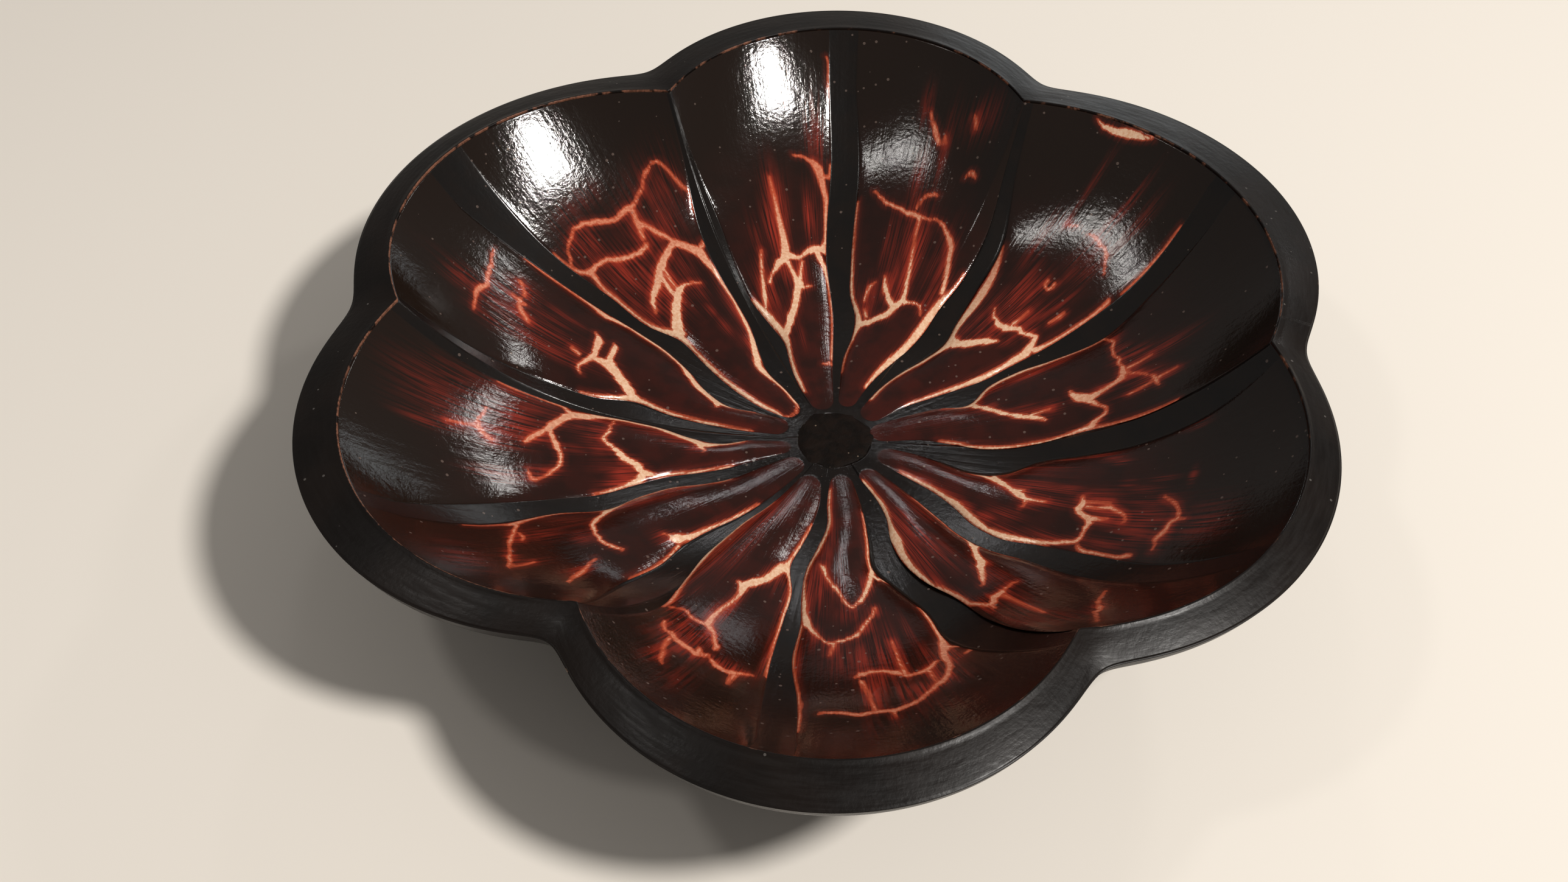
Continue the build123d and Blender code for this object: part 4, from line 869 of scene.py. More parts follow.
def swell_of(petal, places, distance):
    """0 on a groove floor, 1 on the ridge of a finger, rounded off at its tip."""
    section = np.minimum(places.astype(int), 4)
    on_finger = (section == 1) | (section == 3)
    across = np.where(on_finger, 2 * (places - section) - 1, 1.0)
    round_top = (np.sqrt(np.maximum(1 - across ** 2, 0)) * ROUND
                 + (1 - across ** 2) * PARABOLIC)
    tip_at = np.where(section < 2.5, TIP_AT[2 * petal], TIP_AT[2 * petal + 1])
    tip = np.clip((distance - tip_at - TIP_BULGE * across ** 2) / TIP_LENGTH, 0, 1)
    tip = np.sqrt(np.maximum(1 - (1 - tip) ** 2, 0))
    return round_top[None, :] * tip


def petal_form(petal):
    """Direction, distance and height of every grid point."""
    places = column_places()
    start, end = petal_span(petal)
    rows = np.linspace(0, 1, PETAL_ROWS + 1)[:, None] * np.ones(len(places))[None, :]
    distance = GRID_START + rows * GRID_LENGTH
    below_rim = np.clip((1 - rows) / SWELL_FADE, 0, 1)
    for _ in range(4):   # direction and distance depend on each other, and settle soon
        degrees = bent_columns(petal, places, distance)
        rim = reach_of(PETAL_ARC[petal], np.clip(degrees, start, end)) - TOP_LAP
        swell = swell_of(petal, places, distance) * below_rim * (2 - below_rim)
        along = CURVE_START + rows * (rim_end(rim, WALL_TOP) - CURVE_START)
        distance, height = hollow_curve(along, rim, swell)
    return degrees, distance, height


def finger_depth(petal, around, reach):
    """How far inside a finger a point lies, in mm; below zero in a groove or past the tip."""
    inside = np.full(around.shape, float(GROOVE_DEPTHS[0]))
    for finger in (2 * petal, 2 * petal + 1):
        low, high = finger_edge(finger, 0, reach), finger_edge(finger, 1, reach)
        side = np.minimum(around - low, high - around) * np.radians(1) * reach
        half = (high - low) / 2 * np.radians(1) * reach
        behind_tip = np.maximum(half - (reach - TIP_AT[finger]), 0)
        depth = np.where(behind_tip > 0, half - np.hypot(half - side, behind_tip), side)
        inside = np.maximum(inside, depth)
    return np.clip(inside, *GROOVE_DEPTHS)


def red_rub(petal, around, reach):
    """How far the brown is rubbed through to red, from 0 to 1."""
    glow = np.zeros(around.shape)
    for centre, at, half_width, half_length, strength in GLOWS[PETALS[petal]]:
        far = ((around - centre) / half_width) ** 2 + ((reach - at) / half_length) ** 2
        glow = np.maximum(glow, strength * np.exp(-GLOW_FALL * far))
    return glow


def build_petal(petal):
    degrees, distance, height = petal_form(petal)
    count_up, count_across = degrees.shape
    bm = bmesh.new()
    bmesh.ops.create_grid(bm, x_segments=count_across - 1, y_segments=count_up - 1, size=0.5)
    x = distance * np.cos(np.radians(degrees)) * MM
    y = distance * np.sin(np.radians(degrees)) * MM
    z = height * MM
    for vert in bm.verts:
        column = round((vert.co.x + 0.5) * (count_across - 1))
        row = round((vert.co.y + 0.5) * (count_up - 1))
        vert.co = (x[row, column], y[row, column], z[row, column])
    thicken(bm, UNDERSIDE)
    mesh = to_mesh(bm, PETALS[petal] + "_carved")
    around, reach, _ = in_plan(mesh)
    start = CORNER_ANGLE[petal]
    around = (around - (start - 30)) % 360 + (start - 30)
    length = unrolled(reach)
    drawn = nearest_vein(petal, around, reach, length)
    brushed = length + combed(around, length, FIRST_SEED + petal)
    dragged = nearest_vein(petal, around, reach, brushed)
    petal_rim = reach_of(PETAL_ARC[petal], np.clip(around, start, start + WIDEST_PETAL))
    keep(mesh, "vein_depth", np.maximum(dragged, drawn - FADE_IN_VEIN))
    keep(mesh, "red_rub", red_rub(petal, around, reach))
    keep(mesh, "finger_depth", finger_depth(petal, around, reach))
    keep(mesh, "up_the_wall", reach / petal_rim)
    roll_out(mesh, "rolled_out", np.radians(around) * ROLL_RADIUS, length)
    return as_piece(mesh, PETALS[petal] + "_carving")


petals = []
for petal in range(6):
    piece = build_petal(petal)
    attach(piece, "root")
    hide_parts(PETALS[petal])
    petals.append(piece)
print("petal triangles:", [2 * len(piece.data.polygons) for piece in petals])

# %% [markdown]
# ## The black body
# The outside of the bowl, its rim band and the wood under the petals are one
# turned-looking piece whose rings are lobed instead of round.  It starts as a
# circle, and each further ring is the last one extruded and bent to a new size.
# The rim band slopes outwards to a steep lip, and its edges are barely softened by
# the lacquer, so a few rings lie close together along each of them.

# %% Lobed rings
RING_POINTS = 720
RING_ANGLE = np.arange(RING_POINTS) * 360 / RING_POINTS
VALLEY_SOFTNESS = 2.2      # mm over which two lobes melt into each other
LOBE_HALF = 55             # degrees either side of a lobe's middle where it counts
MIDDLE_REACH = 110


def inner_reach(degrees):
    """The rim's crisp inner edge."""
    turned = (degrees - CORNER_ANGLE[0]) % 360 + CORNER_ANGLE[0]
    belongs = np.clip(np.searchsorted(CORNER_ANGLE, turned, side="right") - 1, 0, 5)
    reach = np.zeros_like(degrees)
    for petal in range(6):
        mine = belongs == petal
        reach[mine] = reach_of(PETAL_ARC[petal], degrees[mine])
    return reach


def outer_reach(degrees):
    """The rim's outer edge: the lobes melt into each other in soft valleys."""
    total = np.zeros_like(degrees)
    for petal, arc in enumerate(OUTER_ARC):
        away = np.abs((degrees - CORNER_ANGLE[petal] - 30 + 180) % 360 - 180)
        nearness = np.exp((reach_of(arc, degrees) - MIDDLE_REACH) / VALLEY_SOFTNESS)
        total += np.where(away < LOBE_HALF, nearness, 0)
    return MIDDLE_REACH + VALLEY_SOFTNESS * np.log(total)


def small_circle(bm, count, radius):
    """The filled circle that a ringed piece starts from: its ring, in order, and its middle."""
    bmesh.ops.create_circle(bm, cap_ends=True, cap_tris=True, segments=count, radius=radius)
    ring = sorted((v for v in bm.verts if v.co.length > radius / 2),
                  key=lambda v: math.atan2(v.co.y, v.co.x) % (2 * math.pi))
    return ring, next(v for v in bm.verts if v.co.length < radius / 2)


def next_ring(bm, ring):
    """Extrudes the ring once and gives the new one back in the same order."""
    edges = [bm.edges.get((ring[i], ring[i - 1])) for i in range(len(ring))]
    made = bmesh.ops.extrude_edge_only(bm, edges=edges)
    fresh = {item for item in made["geom"] if isinstance(item, bmesh.types.BMVert)}
    return [next(edge.other_vert(vert) for edge in vert.link_edges
                 if edge.other_vert(vert) in fresh) for vert in ring]


def bend_ring(ring, distance, height):
    """Puts the ring at these distances and heights; it stays in order round the axis."""
    for i, vert in enumerate(ring):
        a = math.radians(RING_ANGLE[i])
        vert.co = (distance[i] * math.cos(a) * MM, distance[i] * math.sin(a) * MM,
                   height[i] * MM)


inner, outer = inner_reach(RING_ANGLE), outer_reach(RING_ANGLE)
print("inner edge", round(inner.min(), 1), "to", round(inner.max(), 1),
      "mm, outer edge", round(outer.min(), 1), "to", round(outer.max(), 1), "mm")

# %% [markdown]
# ### The profile of the body
# The rings follow one profile: the foot, the bulging wall, the lip, the sloping
# band, the crisp inner edge, and the floor of the pocket under the petals.

# %% The body, from under the foot round to the flower centre
FOOT_HOLLOW, UNDER_FOOT = 0.6, (6, 18)  # mm: the middle stands clear; its first two rings
# (share of the rim's outline, height)
FOOT = [(0.385, FOOT_HOLLOW), (0.40, 0.15), (0.41, 0.0), (0.435, 0.0)]
FOOT_SHARE, WALL_SHARE = 0.44, 0.56     # of the outline: where the wall starts, and its run
WALL_HEIGHT, WALL_FULLNESS, WALL_INSET = 46.6, 1.9, 0.15
WALL_STEPS = (0.02, 0.05, 0.1, 0.16, 0.22, 0.3, 0.38, 0.46, 0.54, 0.62, 0.7, 0.78, 0.85, 0.9)
# (mm in from the outer edge, height)
LIP = [(2.9, 42.3), (1.7, 43.3), (1.15, 44.2), (0.75, 45.2), (0.4, 46.2), (0.25, 46.6),
       (0.14, 46.8), (0.1, 46.9), (0.14, 46.98), (0.26, 47.03), (0.42, 47.08)]
BAND_HEIGHT, BAND_RISE, BAND_CROWN = 46.95, 2.85, 0.12
BAND_STEPS = (0.05, 0.09, 0.2, 0.35, 0.5, 0.65, 0.8, 0.9)
# (mm out from the inner edge, height)
INNER_EDGE = [(0.45, 49.8), (0.22, 49.84), (0.08, 49.8), (-0.01, 49.7), (-0.06, 49.5),
              (-0.08, 49.25), (-0.14, 48.9)]
POCKET_STEPS = (0.93, 0.8, 0.65, 0.5, 0.35, 0.2, 0.08)
POCKET_TOP, POCKET_DEPTH, POCKET_MIDDLE, POCKET_GAP = 48, 1.6, 6.0, 0.5
ON_TOP, FAR = 48, 9      # mm: the rim begins above this, and what lies lower counts as far off
RIM_ROLL = 100           # mm: one degree of the rolled-out rim is as wide as here

# Where hands have rubbed the inner edge, and where its tan line is a painted highlight (at 104, 205
# and 226 degrees): (direction, half width in degrees, strength)
RUBBED_AND_HIGHLIGHT_LINES = [(104, 9, 0.6), (130, 14, 0.8), (150, 10, 1.0), (174, 12, 1.0), (205, 12, 0.8),
          (226, 10, 0.9), (8, 14, 0.7), (40, 12, 0.5), (66, 8, 0.4), (300, 9, 0.3)]


def softened(reach, half_width):
    """The same closed line with its corners eased over a few degrees."""
    window = np.hanning(2 * half_width + 3)[1:-1]
    wrapped = np.concatenate([reach[-half_width:], reach, reach[:half_width]])
    return np.convolve(wrapped, window / window.sum(), mode="valid")


def body_rings():
    """(distance, height) of every ring, from the middle of the foot outwards and back in."""
    flat = np.ones(RING_POINTS)
    rings = [(flat * reach, flat * FOOT_HOLLOW) for reach in UNDER_FOOT]
    rings += [(outer * share, flat * height) for share, height in FOOT]
    rings += [(outer * (FOOT_SHARE + WALL_SHARE * step) - WALL_INSET,
               flat * WALL_HEIGHT * step ** WALL_FULLNESS) for step in WALL_STEPS]
    rings += [(outer - inset, flat * height) for inset, height in LIP]
    eased = softened(inner, RING_POINTS // 40)
    for share in BAND_STEPS:
        toward = eased + (inner - eased) * share ** 3
        height = BAND_HEIGHT + BAND_RISE * share + BAND_CROWN * math.sin(math.pi * share)
        rings.append((outer - share * (outer - toward), flat * height))
    rings += [(inner + gap, flat * height) for gap, height in INNER_EDGE]
    for along in POCKET_STEPS:
        distance, height = hollow_curve(np.full(RING_POINTS, along), inner, 0.0)
        rings.append((np.minimum(distance, inner - POCKET_GAP),
                      np.minimum(height, POCKET_TOP) - POCKET_DEPTH))
    return rings


def build_body():
    bm = bmesh.new()
    ring, middle = small_circle(bm, RING_POINTS, UNDER_FOOT[0] * MM)
    middle.co.z = FOOT_HOLLOW * MM
    first, *others = body_rings()
    bend_ring(ring, *first)
    for distance, height in others:
        ring = next_ring(bm, ring)
        bend_ring(ring, distance, height)
    ring = next_ring(bm, ring)
    bmesh.ops.pointmerge(bm, verts=ring, merge_co=(0, 0, POCKET_MIDDLE * MM))
    mesh = to_mesh(bm, "lacquered_body")
    around, reach, height = in_plan(mesh)
    around = around % 360
    gap = reach - inner_reach(around)
    # how far the inner edge is rubbed to bare wood; at 104, 205 and 226 degrees this stands for a
    # painted highlight line
    rub_and_highlight = np.zeros(len(around))
    for centre, half_width, strength in RUBBED_AND_HIGHLIGHT_LINES:
        away = (around - centre + 180) % 360 - 180
        rub_and_highlight = np.maximum(rub_and_highlight, strength * np.exp(-(away / half_width) ** 2))
    keep(mesh, "from_inner_edge", np.where(height > ON_TOP, np.abs(gap), FAR))
    keep(mesh, "from_outer_edge", outer_reach(around) - reach)
    keep(mesh, "rubbed_edge_and_highlight", rub_and_highlight)
    roll_out(mesh, "round_the_rim", np.radians(around) * RIM_ROLL, gap)
    return as_piece(mesh, "lacquered_body")


body = build_body()
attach(body, "root")
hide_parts("bowl_body")
print("body faces:", len(body.data.polygons))

# %% [markdown]
# ## The flower centre
# The carver left a small rough disc in the middle, where all twelve fingers and
# the grooves between them end.  It is matt, because the lacquer soaked in.

# %% The flower centre
CENTRE_POINTS = 96
CENTRE_RINGS = (2.2, 3.4, 4.6, 5.8, 7.0, 8.2, 9.4, 10.4, 11.2)
CENTRE_LIFT, CENTRE_DIP, CENTRE_DEPTH = 0.2, 0.32, 1.5


def roughness_of_centre(x, y):
    """Small tool dents, in mm, from a few crossing waves."""
    return (0.06 * math.sin(1.1 * x + 0.7 * y) + 0.04 * math.sin(2.3 * y - 0.9 * x + 1.0)
            + 0.03 * math.sin(3.9 * x + 2.2 * y + 2.0))


def edge_of_centre(turn):
    """Where the centre starts to dip under the petals: never the same twice round."""
    return (8.3 + 0.5 * math.sin(3 * turn + 1) + 0.35 * math.sin(7 * turn)
            + 0.25 * math.sin(11 * turn + 2))


def build_centre():
    bm = bmesh.new()
    ring, _ = small_circle(bm, CENTRE_POINTS, MM)
    for radius in CENTRE_RINGS:
        ring = next_ring(bm, ring)
        for i, vert in enumerate(ring):
            a = 2 * math.pi * i / CENTRE_POINTS
            vert.co = (radius * math.cos(a) * MM, radius * math.sin(a) * MM, 0)
    for vert in bm.verts:
        x, y = vert.co.x / MM, vert.co.y / MM
        past_edge = max(0.0, math.hypot(x, y) - edge_of_centre(math.atan2(y, x)))
        dents = roughness_of_centre(x, y)
        vert.co.z = (FLOOR + CENTRE_LIFT + dents - CENTRE_DIP * past_edge) * MM
    thicken(bm, CENTRE_DEPTH)
    return as_piece(to_mesh(bm, "rough_centre"), "rough_centre")


centre = build_centre()
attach(centre, "root")
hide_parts("flower_centre")
print("centre faces:", len(centre.data.polygons))

# %% [markdown]
# ## Finishes
# A finish is a small network of nodes.  A few short helpers keep it readable: each
# adds one node, joins its inputs and gives back the socket that comes out.

# %% Node helpers
def connect(tree, socket, value):
    """Joins a socket to another one, or sets it to a plain number or colour."""
    if isinstance(value, bpy.types.NodeSocket):
        tree.links.new(value, socket)
    else:
        socket.default_value = value


def arithmetic(tree, operation, a, b, clamp=False):
    made = tree.nodes.new("ShaderNodeMath")
    made.operation, made.use_clamp = operation, clamp
    connect(tree, made.inputs[0], a)
    connect(tree, made.inputs[1], b)
    return made.outputs[0]


def plus(tree, a, b):
    return arithmetic(tree, "ADD", a, b)


def minus(tree, a, b):
    return arithmetic(tree, "SUBTRACT", a, b)


def times(tree, a, b, clamp=False):
    return arithmetic(tree, "MULTIPLY", a, b, clamp)


def remap(tree, value, low, high, to_low=0.0, to_high=1.0):
    """Stretches low..high smoothly to to_low..to_high and holds the ends."""
    made = tree.nodes.new("ShaderNodeMapRange")
    made.interpolation_type = "SMOOTHSTEP"
    for name, number in (("Value", value), ("From Min", low), ("From Max", high),
                         ("To Min", to_low), ("To Max", to_high)):
        connect(tree, made.inputs[name], number)
    return made.outputs["Result"]


def blend_colour(tree, share, first, second):
    """first where share is 0, second where it is 1."""
    made = tree.nodes.new("ShaderNodeMix")
    made.data_type = "RGBA"
    for socket, value in zip((made.inputs[0], made.inputs[6], made.inputs[7]),
                             (share, first, second)):
        connect(tree, socket, value)
    return made.outputs[2]


def attribute(tree, name):
    made = tree.nodes.new("ShaderNodeAttribute")
    made.attribute_name = name
    return made.outputs["Fac"]


def own_place(tree):
    """Where a point lies in the frame of its piece, in metres."""
    return tree.nodes.new("ShaderNodeTexCoord").outputs["Object"]


def rolled_out(tree, name):
    made = tree.nodes.new("ShaderNodeUVMap")
    made.uv_map = name
    return made.outputs["UV"]


def noise(tree, vector, scale, detail, rough):
    made = tree.nodes.new("ShaderNodeTexNoise")
    for name, value in (("Vector", vector), ("Scale", scale), ("Detail", detail),
                        ("Roughness", rough), ("Distortion", 0.0)):
        connect(tree, made.inputs[name], value)
    return made.outputs["Fac"]


def brush_strokes(tree, rolled, in_x, in_y, detail, rough):
    """Noise drawn out into strokes: so many to the metre in x and in y."""
    made = tree.nodes.new("ShaderNodeMapping")
    made.inputs["Scale"].default_value = (in_x, in_y, 1)
    tree.links.new(rolled, made.inputs["Vector"])
    return noise(tree, made.outputs["Vector"], 1.0, detail, rough)


def raise_surface(tree, shader, distance, strength, layers):
    """Adds up (height, share) layers and lets the light see them."""
    height = times(tree, *layers[0])
    for layer in layers[1:]:
        height = plus(tree, height, times(tree, *layer))
    bump = tree.nodes.new("ShaderNodeBump")
    bump.inputs["Strength"].default_value = strength
    bump.inputs["Distance"].default_value = distance
    tree.links.new(height, bump.inputs["Height"])
    tree.links.new(bump.outputs["Normal"], shader.inputs["Normal"])


def colour(red, green, blue):
    """A screen colour, 0 to 255, as the linear light that Blender counts in."""
    def linear(v):
        v /= 255
        return v / 12.92 if v <= 0.04045 else ((v + 0.055) / 1.055) ** 2.4
    return (linear(red), linear(green), linear(blue), 1.0)


def new_finish(name):
    material = bpy.data.materials.new(name)
    material.use_nodes = True
    return material, material.node_tree, material.node_tree.nodes["Principled BSDF"]


def wear(piece, material):
    piece.data.materials.clear()
    piece.data.materials.append(material)


print("a worn tan edge is", [round(v, 3) for v in colour(232, 176, 132)], "in linear light")

# %% [markdown]
# ### Dust and nibs
# Brushed lacquer catches dust while it dries.  Every finish of the bowl has it,
# so it is a node group: it gives a mask of tiny specks and a fine unevenness.

# %% The dust group
FEW_CELLS = 0.86    # only cells above this have a speck in them


def dust_group():
    group = bpy.data.node_groups.new("dust_in_lacquer", "ShaderNodeTree")
    for name, kind, side in (("Vector", "NodeSocketVector", "INPUT"),
                             ("Speck Size", "NodeSocketFloat", "INPUT"),
                             ("Amount", "NodeSocketFloat", "INPUT"),
                             ("Specks", "NodeSocketFloat", "OUTPUT"),
                             ("Waves", "NodeSocketFloat", "OUTPUT")):
        group.interface.new_socket(name, in_out=side, socket_type=kind)
    start = group.nodes.new("NodeGroupInput")
    end = group.nodes.new("NodeGroupOutput")
    cells = group.nodes.new("ShaderNodeTexVoronoi")
    group.links.new(start.outputs["Vector"], cells.inputs["Vector"])
    group.links.new(start.outputs["Speck Size"], cells.inputs["Scale"])
    chosen = group.nodes.new("ShaderNodeSeparateColor")
    group.links.new(cells.outputs["Color"], chosen.inputs["Color"])
    size = remap(group, chosen.outputs["Green"], 0.0, 1.0, 0.03, 0.2)
    threshold = times(group, start.outputs["Amount"], size)
    near = arithmetic(group, "LESS_THAN", cells.outputs["Distance"], threshold)
    lucky = arithmetic(group, "GREATER_THAN", chosen.outputs["Red"], FEW_CELLS)
    group.links.new(times(group, near, lucky), end.inputs["Specks"])
    group.links.new(noise(group, start.outputs["Vector"], 700, 3, 0.55), end.inputs["Waves"])
    return group


DUST = dust_group()


def dust(tree, vector, size, amount):
    made = tree.nodes.new("ShaderNodeGroup")
    made.node_tree = DUST
    for name, value in (("Vector", vector), ("Speck Size", size), ("Amount", amount)):
        connect(tree, made.inputs[name], value)
    return made.outputs["Specks"], made.outputs["Waves"]


print("dust group sockets:", [item.name for item in DUST.interface.items_tree])

# %% [markdown]
# ### The veined lacquer of the petals
# Four layers, as the lacquerer laid them: pale wood, red, brown, black.  Where
# the wood is bare the veins are tan; close to them the red glows; the rest is
# brown and goes black towards the rim and in the grooves.  The gloss is in the
# base layer, so that it follows every brush stroke.

# %% The petal finish
GROOVE_ROUGHNESS, FINGER_ROUGHNESS, ROUGHNESS_DRIFT = 0.24, 0.115, 0.04
SOAKED_GROOVE = 0.14       # grooves near the centre are this much smoother, so they stay black


def petal_finish():
    material, tree, shader = new_finish("veined_lacquer")
    place = own_place(tree)
    rolled = rolled_out(tree, "rolled_out")
    depth = attribute(tree, "vein_depth")
    inside = attribute(tree, "finger_depth")
    red = attribute(tree, "red_rub")
    up = attribute(tree, "up_the_wall")

    ragged = noise(tree, place, 1300, 4, 0.68)
    broad = noise(tree, place, 150, 3, 0.5)
    strokes = brush_strokes(tree, rolled, 2300, 55, 3, 0.6)
    hairs = brush_strokes(tree, rolled, 5500, 110, 2, 0.5)
    wide_strokes = brush_strokes(tree, rolled, 420, 22, 2, 0.5)
    specks, waves = dust(tree, place, 620, 1.2)

    # masks: how near a vein, and whether on a finger at all
    wobble = times(tree, minus(tree, ragged, 0.5), 0.5)
    drag = times(tree, minus(tree, strokes, 0.5), 0.8)
    edge = plus(tree, depth, plus(tree, wobble, drag))
    bare = remap(tree, edge, 0.04, 0.34)
    ember = remap(tree, edge, -0.5, 0.16)
    near = remap(tree, edge, -2.0, 0.0)
    on_finger = remap(tree, plus(tree, inside, times(tree, wobble, 0.3)), -0.2, 0.0)

    # brown, darker up the wall
    brown = blend_colour(tree, remap(tree, up, 0.2, 0.6), colour(60, 19, 12), colour(46, 17, 11))
    brown = blend_colour(tree, remap(tree, broad, 0.36, 0.64, 0.0, 0.75), brown,
                         colour(33, 15, 10))
    brown = blend_colour(tree, remap(tree, up, 0.55, 0.92), brown, colour(28, 18, 12))

    # red, in strokes
    rub = times(tree, red, remap(tree, strokes, 0.36, 0.62), clamp=True)
    rub = times(tree, rub, remap(tree, wide_strokes, 0.38, 0.6, 0.5, 1.0), clamp=True)
    glow = times(tree, near, remap(tree, red, 0.0, 0.7, 0.25, 1.0), clamp=True)
    glow = times(tree, glow, remap(tree, strokes, 0.3, 0.62, 0.35, 1.0), clamp=True)
    reddened = blend_colour(tree, times(tree, rub, 0.9), brown, colour(164, 50, 34))
    reddened = blend_colour(tree, times(tree, glow, 0.75), reddened, colour(158, 47, 30))
    glowing = blend_colour(tree, times(tree, ember, 0.8), reddened, colour(202, 88, 56))

    # bare wood, salmon where it lies further out
    tan = blend_colour(tree, remap(tree, ragged, 0.3, 0.7), colour(226, 172, 134),
                       colour(246, 210, 178))
    salmon = blend_colour(tree, remap(tree, ragged, 0.3, 0.7), colour(188, 82, 54),
                          colour(222, 136, 102))
    outward = times(tree, remap(tree, up, 0.46, 0.76, 0.0, 0.9), remap(tree, up, 0.965, 0.935))
    veined = blend_colour(tree, bare, glowing, blend_colour(tree, outward, tan, salmon))

    # black in the grooves, and dust over everything; between the front-left and front petals, about
    # 60 to 90 mm out, the groove black also stands for painted shade
    black = blend_colour(tree, remap(tree, broad, 0.3, 0.7), colour(13, 9, 7), colour(20, 13, 9))
    painted = blend_colour(tree, on_finger, black, veined)
    painted = blend_colour(tree, times(tree, specks, 0.3), painted, colour(150, 130, 120))
    tree.links.new(painted, shader.inputs["Base Color"])

    gloss = minus(tree, remap(tree, on_finger, 0, 1, GROOVE_ROUGHNESS, FINGER_ROUGHNESS),
                  times(tree, broad, ROUGHNESS_DRIFT))
    soaked = times(tree, remap(tree, up, 0.32, 0.16),
                   remap(tree, on_finger, 0, 1, SOAKED_GROOVE, 0.0))
    tree.links.new(minus(tree, gloss, soaked), shader.inputs["Roughness"])
    shader.inputs["Specular IOR Level"].default_value = 0.5
    raise_surface(tree, shader, 0.0001, 1.0,
                  [(strokes, 0.22), (hairs, 0.05), (waves, 0.5), (ragged, 0.24),
                   (wide_strokes, 0.8), (specks, 2.2)])
    return material


veined_lacquer = petal_finish()
for piece in petals:
    wear(piece, veined_lacquer)
print("petal finish has", len(veined_lacquer.node_tree.nodes), "nodes")

# %% [markdown]
# ### The black lacquer of the rim and the outside
# Satin black, brushed along the rim, with the lacquer worn through to bare wood
# in thin broken lines where hands and cloths touch the crisp inner edge.  At the
# back left and the front left those tan lines also stand for a painted highlight
# along the edge.

# %% The body finish
def body_finish():
    material, tree, shader = new_finish("black_lacquer")
    place = own_place(tree)
    inner_gap = attribute(tree, "from_inner_edge")
    outer_gap = attribute(tree, "from_outer_edge")
    brushed = brush_strokes(tree, rolled_out(tree, "round_the_rim"), 120, 900, 3, 0.6)
    patchy = noise(tree, place, 60, 3, 0.5)
    grain = noise(tree, place, 1500, 2, 0.6)
    flecks = noise(tree, place, 240, 3, 0.6)
    specks, waves = dust(tree, place, 520, 0.8)

    # tan along the inner edge: real wear, and at the back left and front left a painted highlight
    # line
    worn = remap(tree, plus(tree, inner_gap, times(tree, grain, 0.5)), 0.55, 0.15)
    broken = plus(tree, flecks, times(tree, attribute(tree, "rubbed_edge_and_highlight"), 0.3))
    worn = times(tree, worn, remap(tree, broken, 0.58, 0.7), clamp=True)
    chipped = remap(tree, plus(tree, outer_gap, times(tree, grain, 1.6)), 1.0, 0.6)
    chipped = times(tree, chipped, remap(tree, patchy, 0.63, 0.7), clamp=True)

    painted = blend_colour(tree, remap(tree, patchy, 0.35, 0.65), colour(16, 12, 10),
                           colour(23, 17, 14))
    painted = blend_colour(tree, times(tree, worn, 0.62), painted, colour(176, 118, 92))
    painted = blend_colour(tree, times(tree, chipped, 0.6), painted, colour(150, 120, 100))
    painted = blend_colour(tree, times(tree, specks, 0.3), painted, colour(140, 135, 130))
    tree.links.new(painted, shader.inputs["Base Color"])
    tree.links.new(remap(tree, brushed, 0.3, 0.7, 0.3, 0.44), shader.inputs["Roughness"])
    shader.inputs["Specular IOR Level"].default_value = 0.2
    raise_surface(tree, shader, 0.00008, 1.0,
                  [(brushed, 0.36), (grain, 0.16), (specks, 0.8), (waves, 0.6)])
    return material


black_lacquer = body_finish()
wear(body, black_lacquer)
print("body finish has", len(black_lacquer.node_tree.nodes), "nodes")

# %% [markdown]
# ### The soaked centre
# Nearly black and matt, with a few pale grains of dust caught in the dents.

# %% The centre finish
def centre_finish():
    material, tree, shader = new_finish("soaked_centre")
    place = own_place(tree)
    patchy = noise(tree, place, 320, 4, 0.6)
    grain = noise(tree, place, 1800, 3, 0.6)
    specks, _ = dust(tree, place, 900, 1.0)
    dark = blend_colour(tree, remap(tree, patchy, 0.35, 0.65), colour(14, 9, 6),
                        colour(25, 16, 11))
    painted = blend_colour(tree, times(tree, specks, 0.5), dark, colour(150, 130, 112))
    tree.links.new(painted, shader.inputs["Base Color"])
    tree.links.new(remap(tree, patchy, 0.3, 0.7, 0.5, 0.75), shader.inputs["Roughness"])
    shader.inputs["Specular IOR Level"].default_value = 0.12
    raise_surface(tree, shader, 0.0004, 0.6, [(grain, 0.6), (patchy, 1.0), (specks, 1.0)])
    return material


soaked_centre = centre_finish()
wear(centre, soaked_centre)
print("centre finish has", len(soaked_centre.node_tree.nodes), "nodes")

# %% [markdown]
# ## Floor, light and camera
# A plain pale floor that catches the bowl's shadow, one key lamp from the right
# that draws it, three small lamps and a low panel that put further bright spots
# on the lacquer, and a soft grey world for the rest.

# %% Floor
FLOOR_HALF, FLOOR_GAP = 3.0, 0.0002    # metres: half its width, and how far it lies below


def build_floor():
    bm = bmesh.new()
    bmesh.ops.create_grid(bm, x_segments=1, y_segments=1, size=FLOOR_HALF)
    bmesh.ops.translate(bm, verts=bm.verts, vec=(0, 0, -FLOOR_GAP))
    piece = as_piece(to_mesh(bm, "pale_floor", closed=False), "pale_floor", smooth=False)
    material, _, shader = new_finish("pale_floor")
    shader.inputs["Base Color"].default_value = colour(247, 240, 230)
    shader.inputs["Roughness"].default_value = 0.9
    shader.inputs["Specular IOR Level"].default_value = 0.1
    wear(piece, material)
    return piece


floor = build_floor()
print("floor is", round(2 * floor.data.vertices[3].co.x), "m wide")

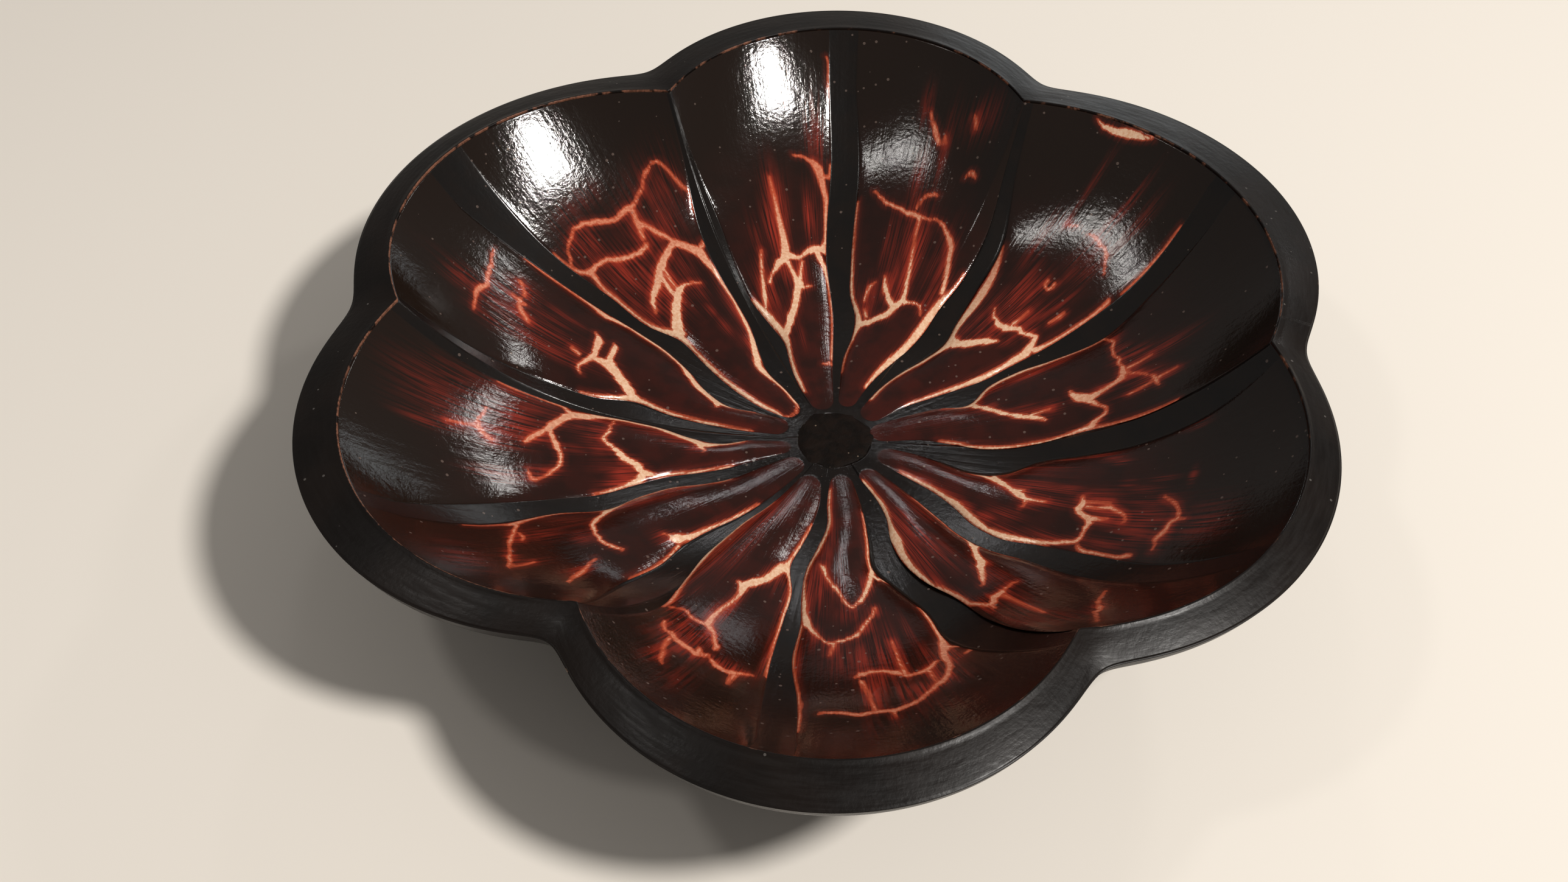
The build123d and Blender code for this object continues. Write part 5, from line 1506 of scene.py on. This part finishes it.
# %% [markdown]
# ### The lamps
# Each lamp is a glowing disc: its place and width in metres, its power in watts
# and its tint.  All of them look at the middle of the bowl.

# %% Lamps and world
LAMPS = [("key_lamp", (0.87, -0.46, 1.29), 0.2, 22.0, (1.0, 0.965, 0.92)),
         ("left_lamp", (-0.48, 0.0, 0.90), 0.10, 0.6, (1.0, 0.97, 0.93)),
         ("back_lamp", (0.04, 0.98, 0.72), 0.09, 0.32, (0.98, 0.98, 1.0)),
         ("side_lamp", (0.60, 0.62, 0.62), 0.10, 0.6, (1.0, 0.98, 0.95)),
         ("low_panel", (0.44, 1.2, 0.15), 0.45, 0.6, (0.9, 0.97, 1.0))]
LAMP_TARGET = Vector((0, 0, 0.03))


def look_from(item, place, target):
    item.location = place
    item.rotation_euler = (target - Vector(place)).to_track_quat("-Z", "Y").to_euler()


for name, place, size, power, tint in LAMPS:
    data = bpy.data.lights.new(name, "AREA")
    data.shape, data.size, data.energy, data.color = "DISK", size, power, tint
    lamp = bpy.data.objects.new(name, data)
    bpy.context.scene.collection.objects.link(lamp)
    look_from(lamp, place, LAMP_TARGET)
world = bpy.data.worlds.new("pale_room")
world.use_nodes = True
sky = world.node_tree.nodes["Background"]
sky.inputs["Color"].default_value = (1.0, 0.96, 0.92, 1)
sky.inputs["Strength"].default_value = 0.17
bpy.context.scene.world = world

# %% [markdown]
# ### The camera
# It stands in front of the bowl at about half a right angle, close enough that the
# near petals look larger than the far ones.

# %% Camera
CAMERA_PLACE = Vector((-0.0122, -0.2582, 0.2905))
CAMERA_TARGET = Vector((-0.0122, -0.0381, 0.050))
camera_data = bpy.data.cameras.new("camera")
camera_data.sensor_width, camera_data.lens = 36.0, 36.32
camera_data.clip_start, camera_data.clip_end = 0.01, 20
camera = bpy.data.objects.new("camera", camera_data)
bpy.context.scene.collection.objects.link(camera)
look_from(camera, CAMERA_PLACE, CAMERA_TARGET)
bpy.context.scene.camera = camera
bpy.context.scene.view_settings.view_transform = "Standard"
print("camera is", round((CAMERA_TARGET - CAMERA_PLACE).length, 3), "m from the rim")
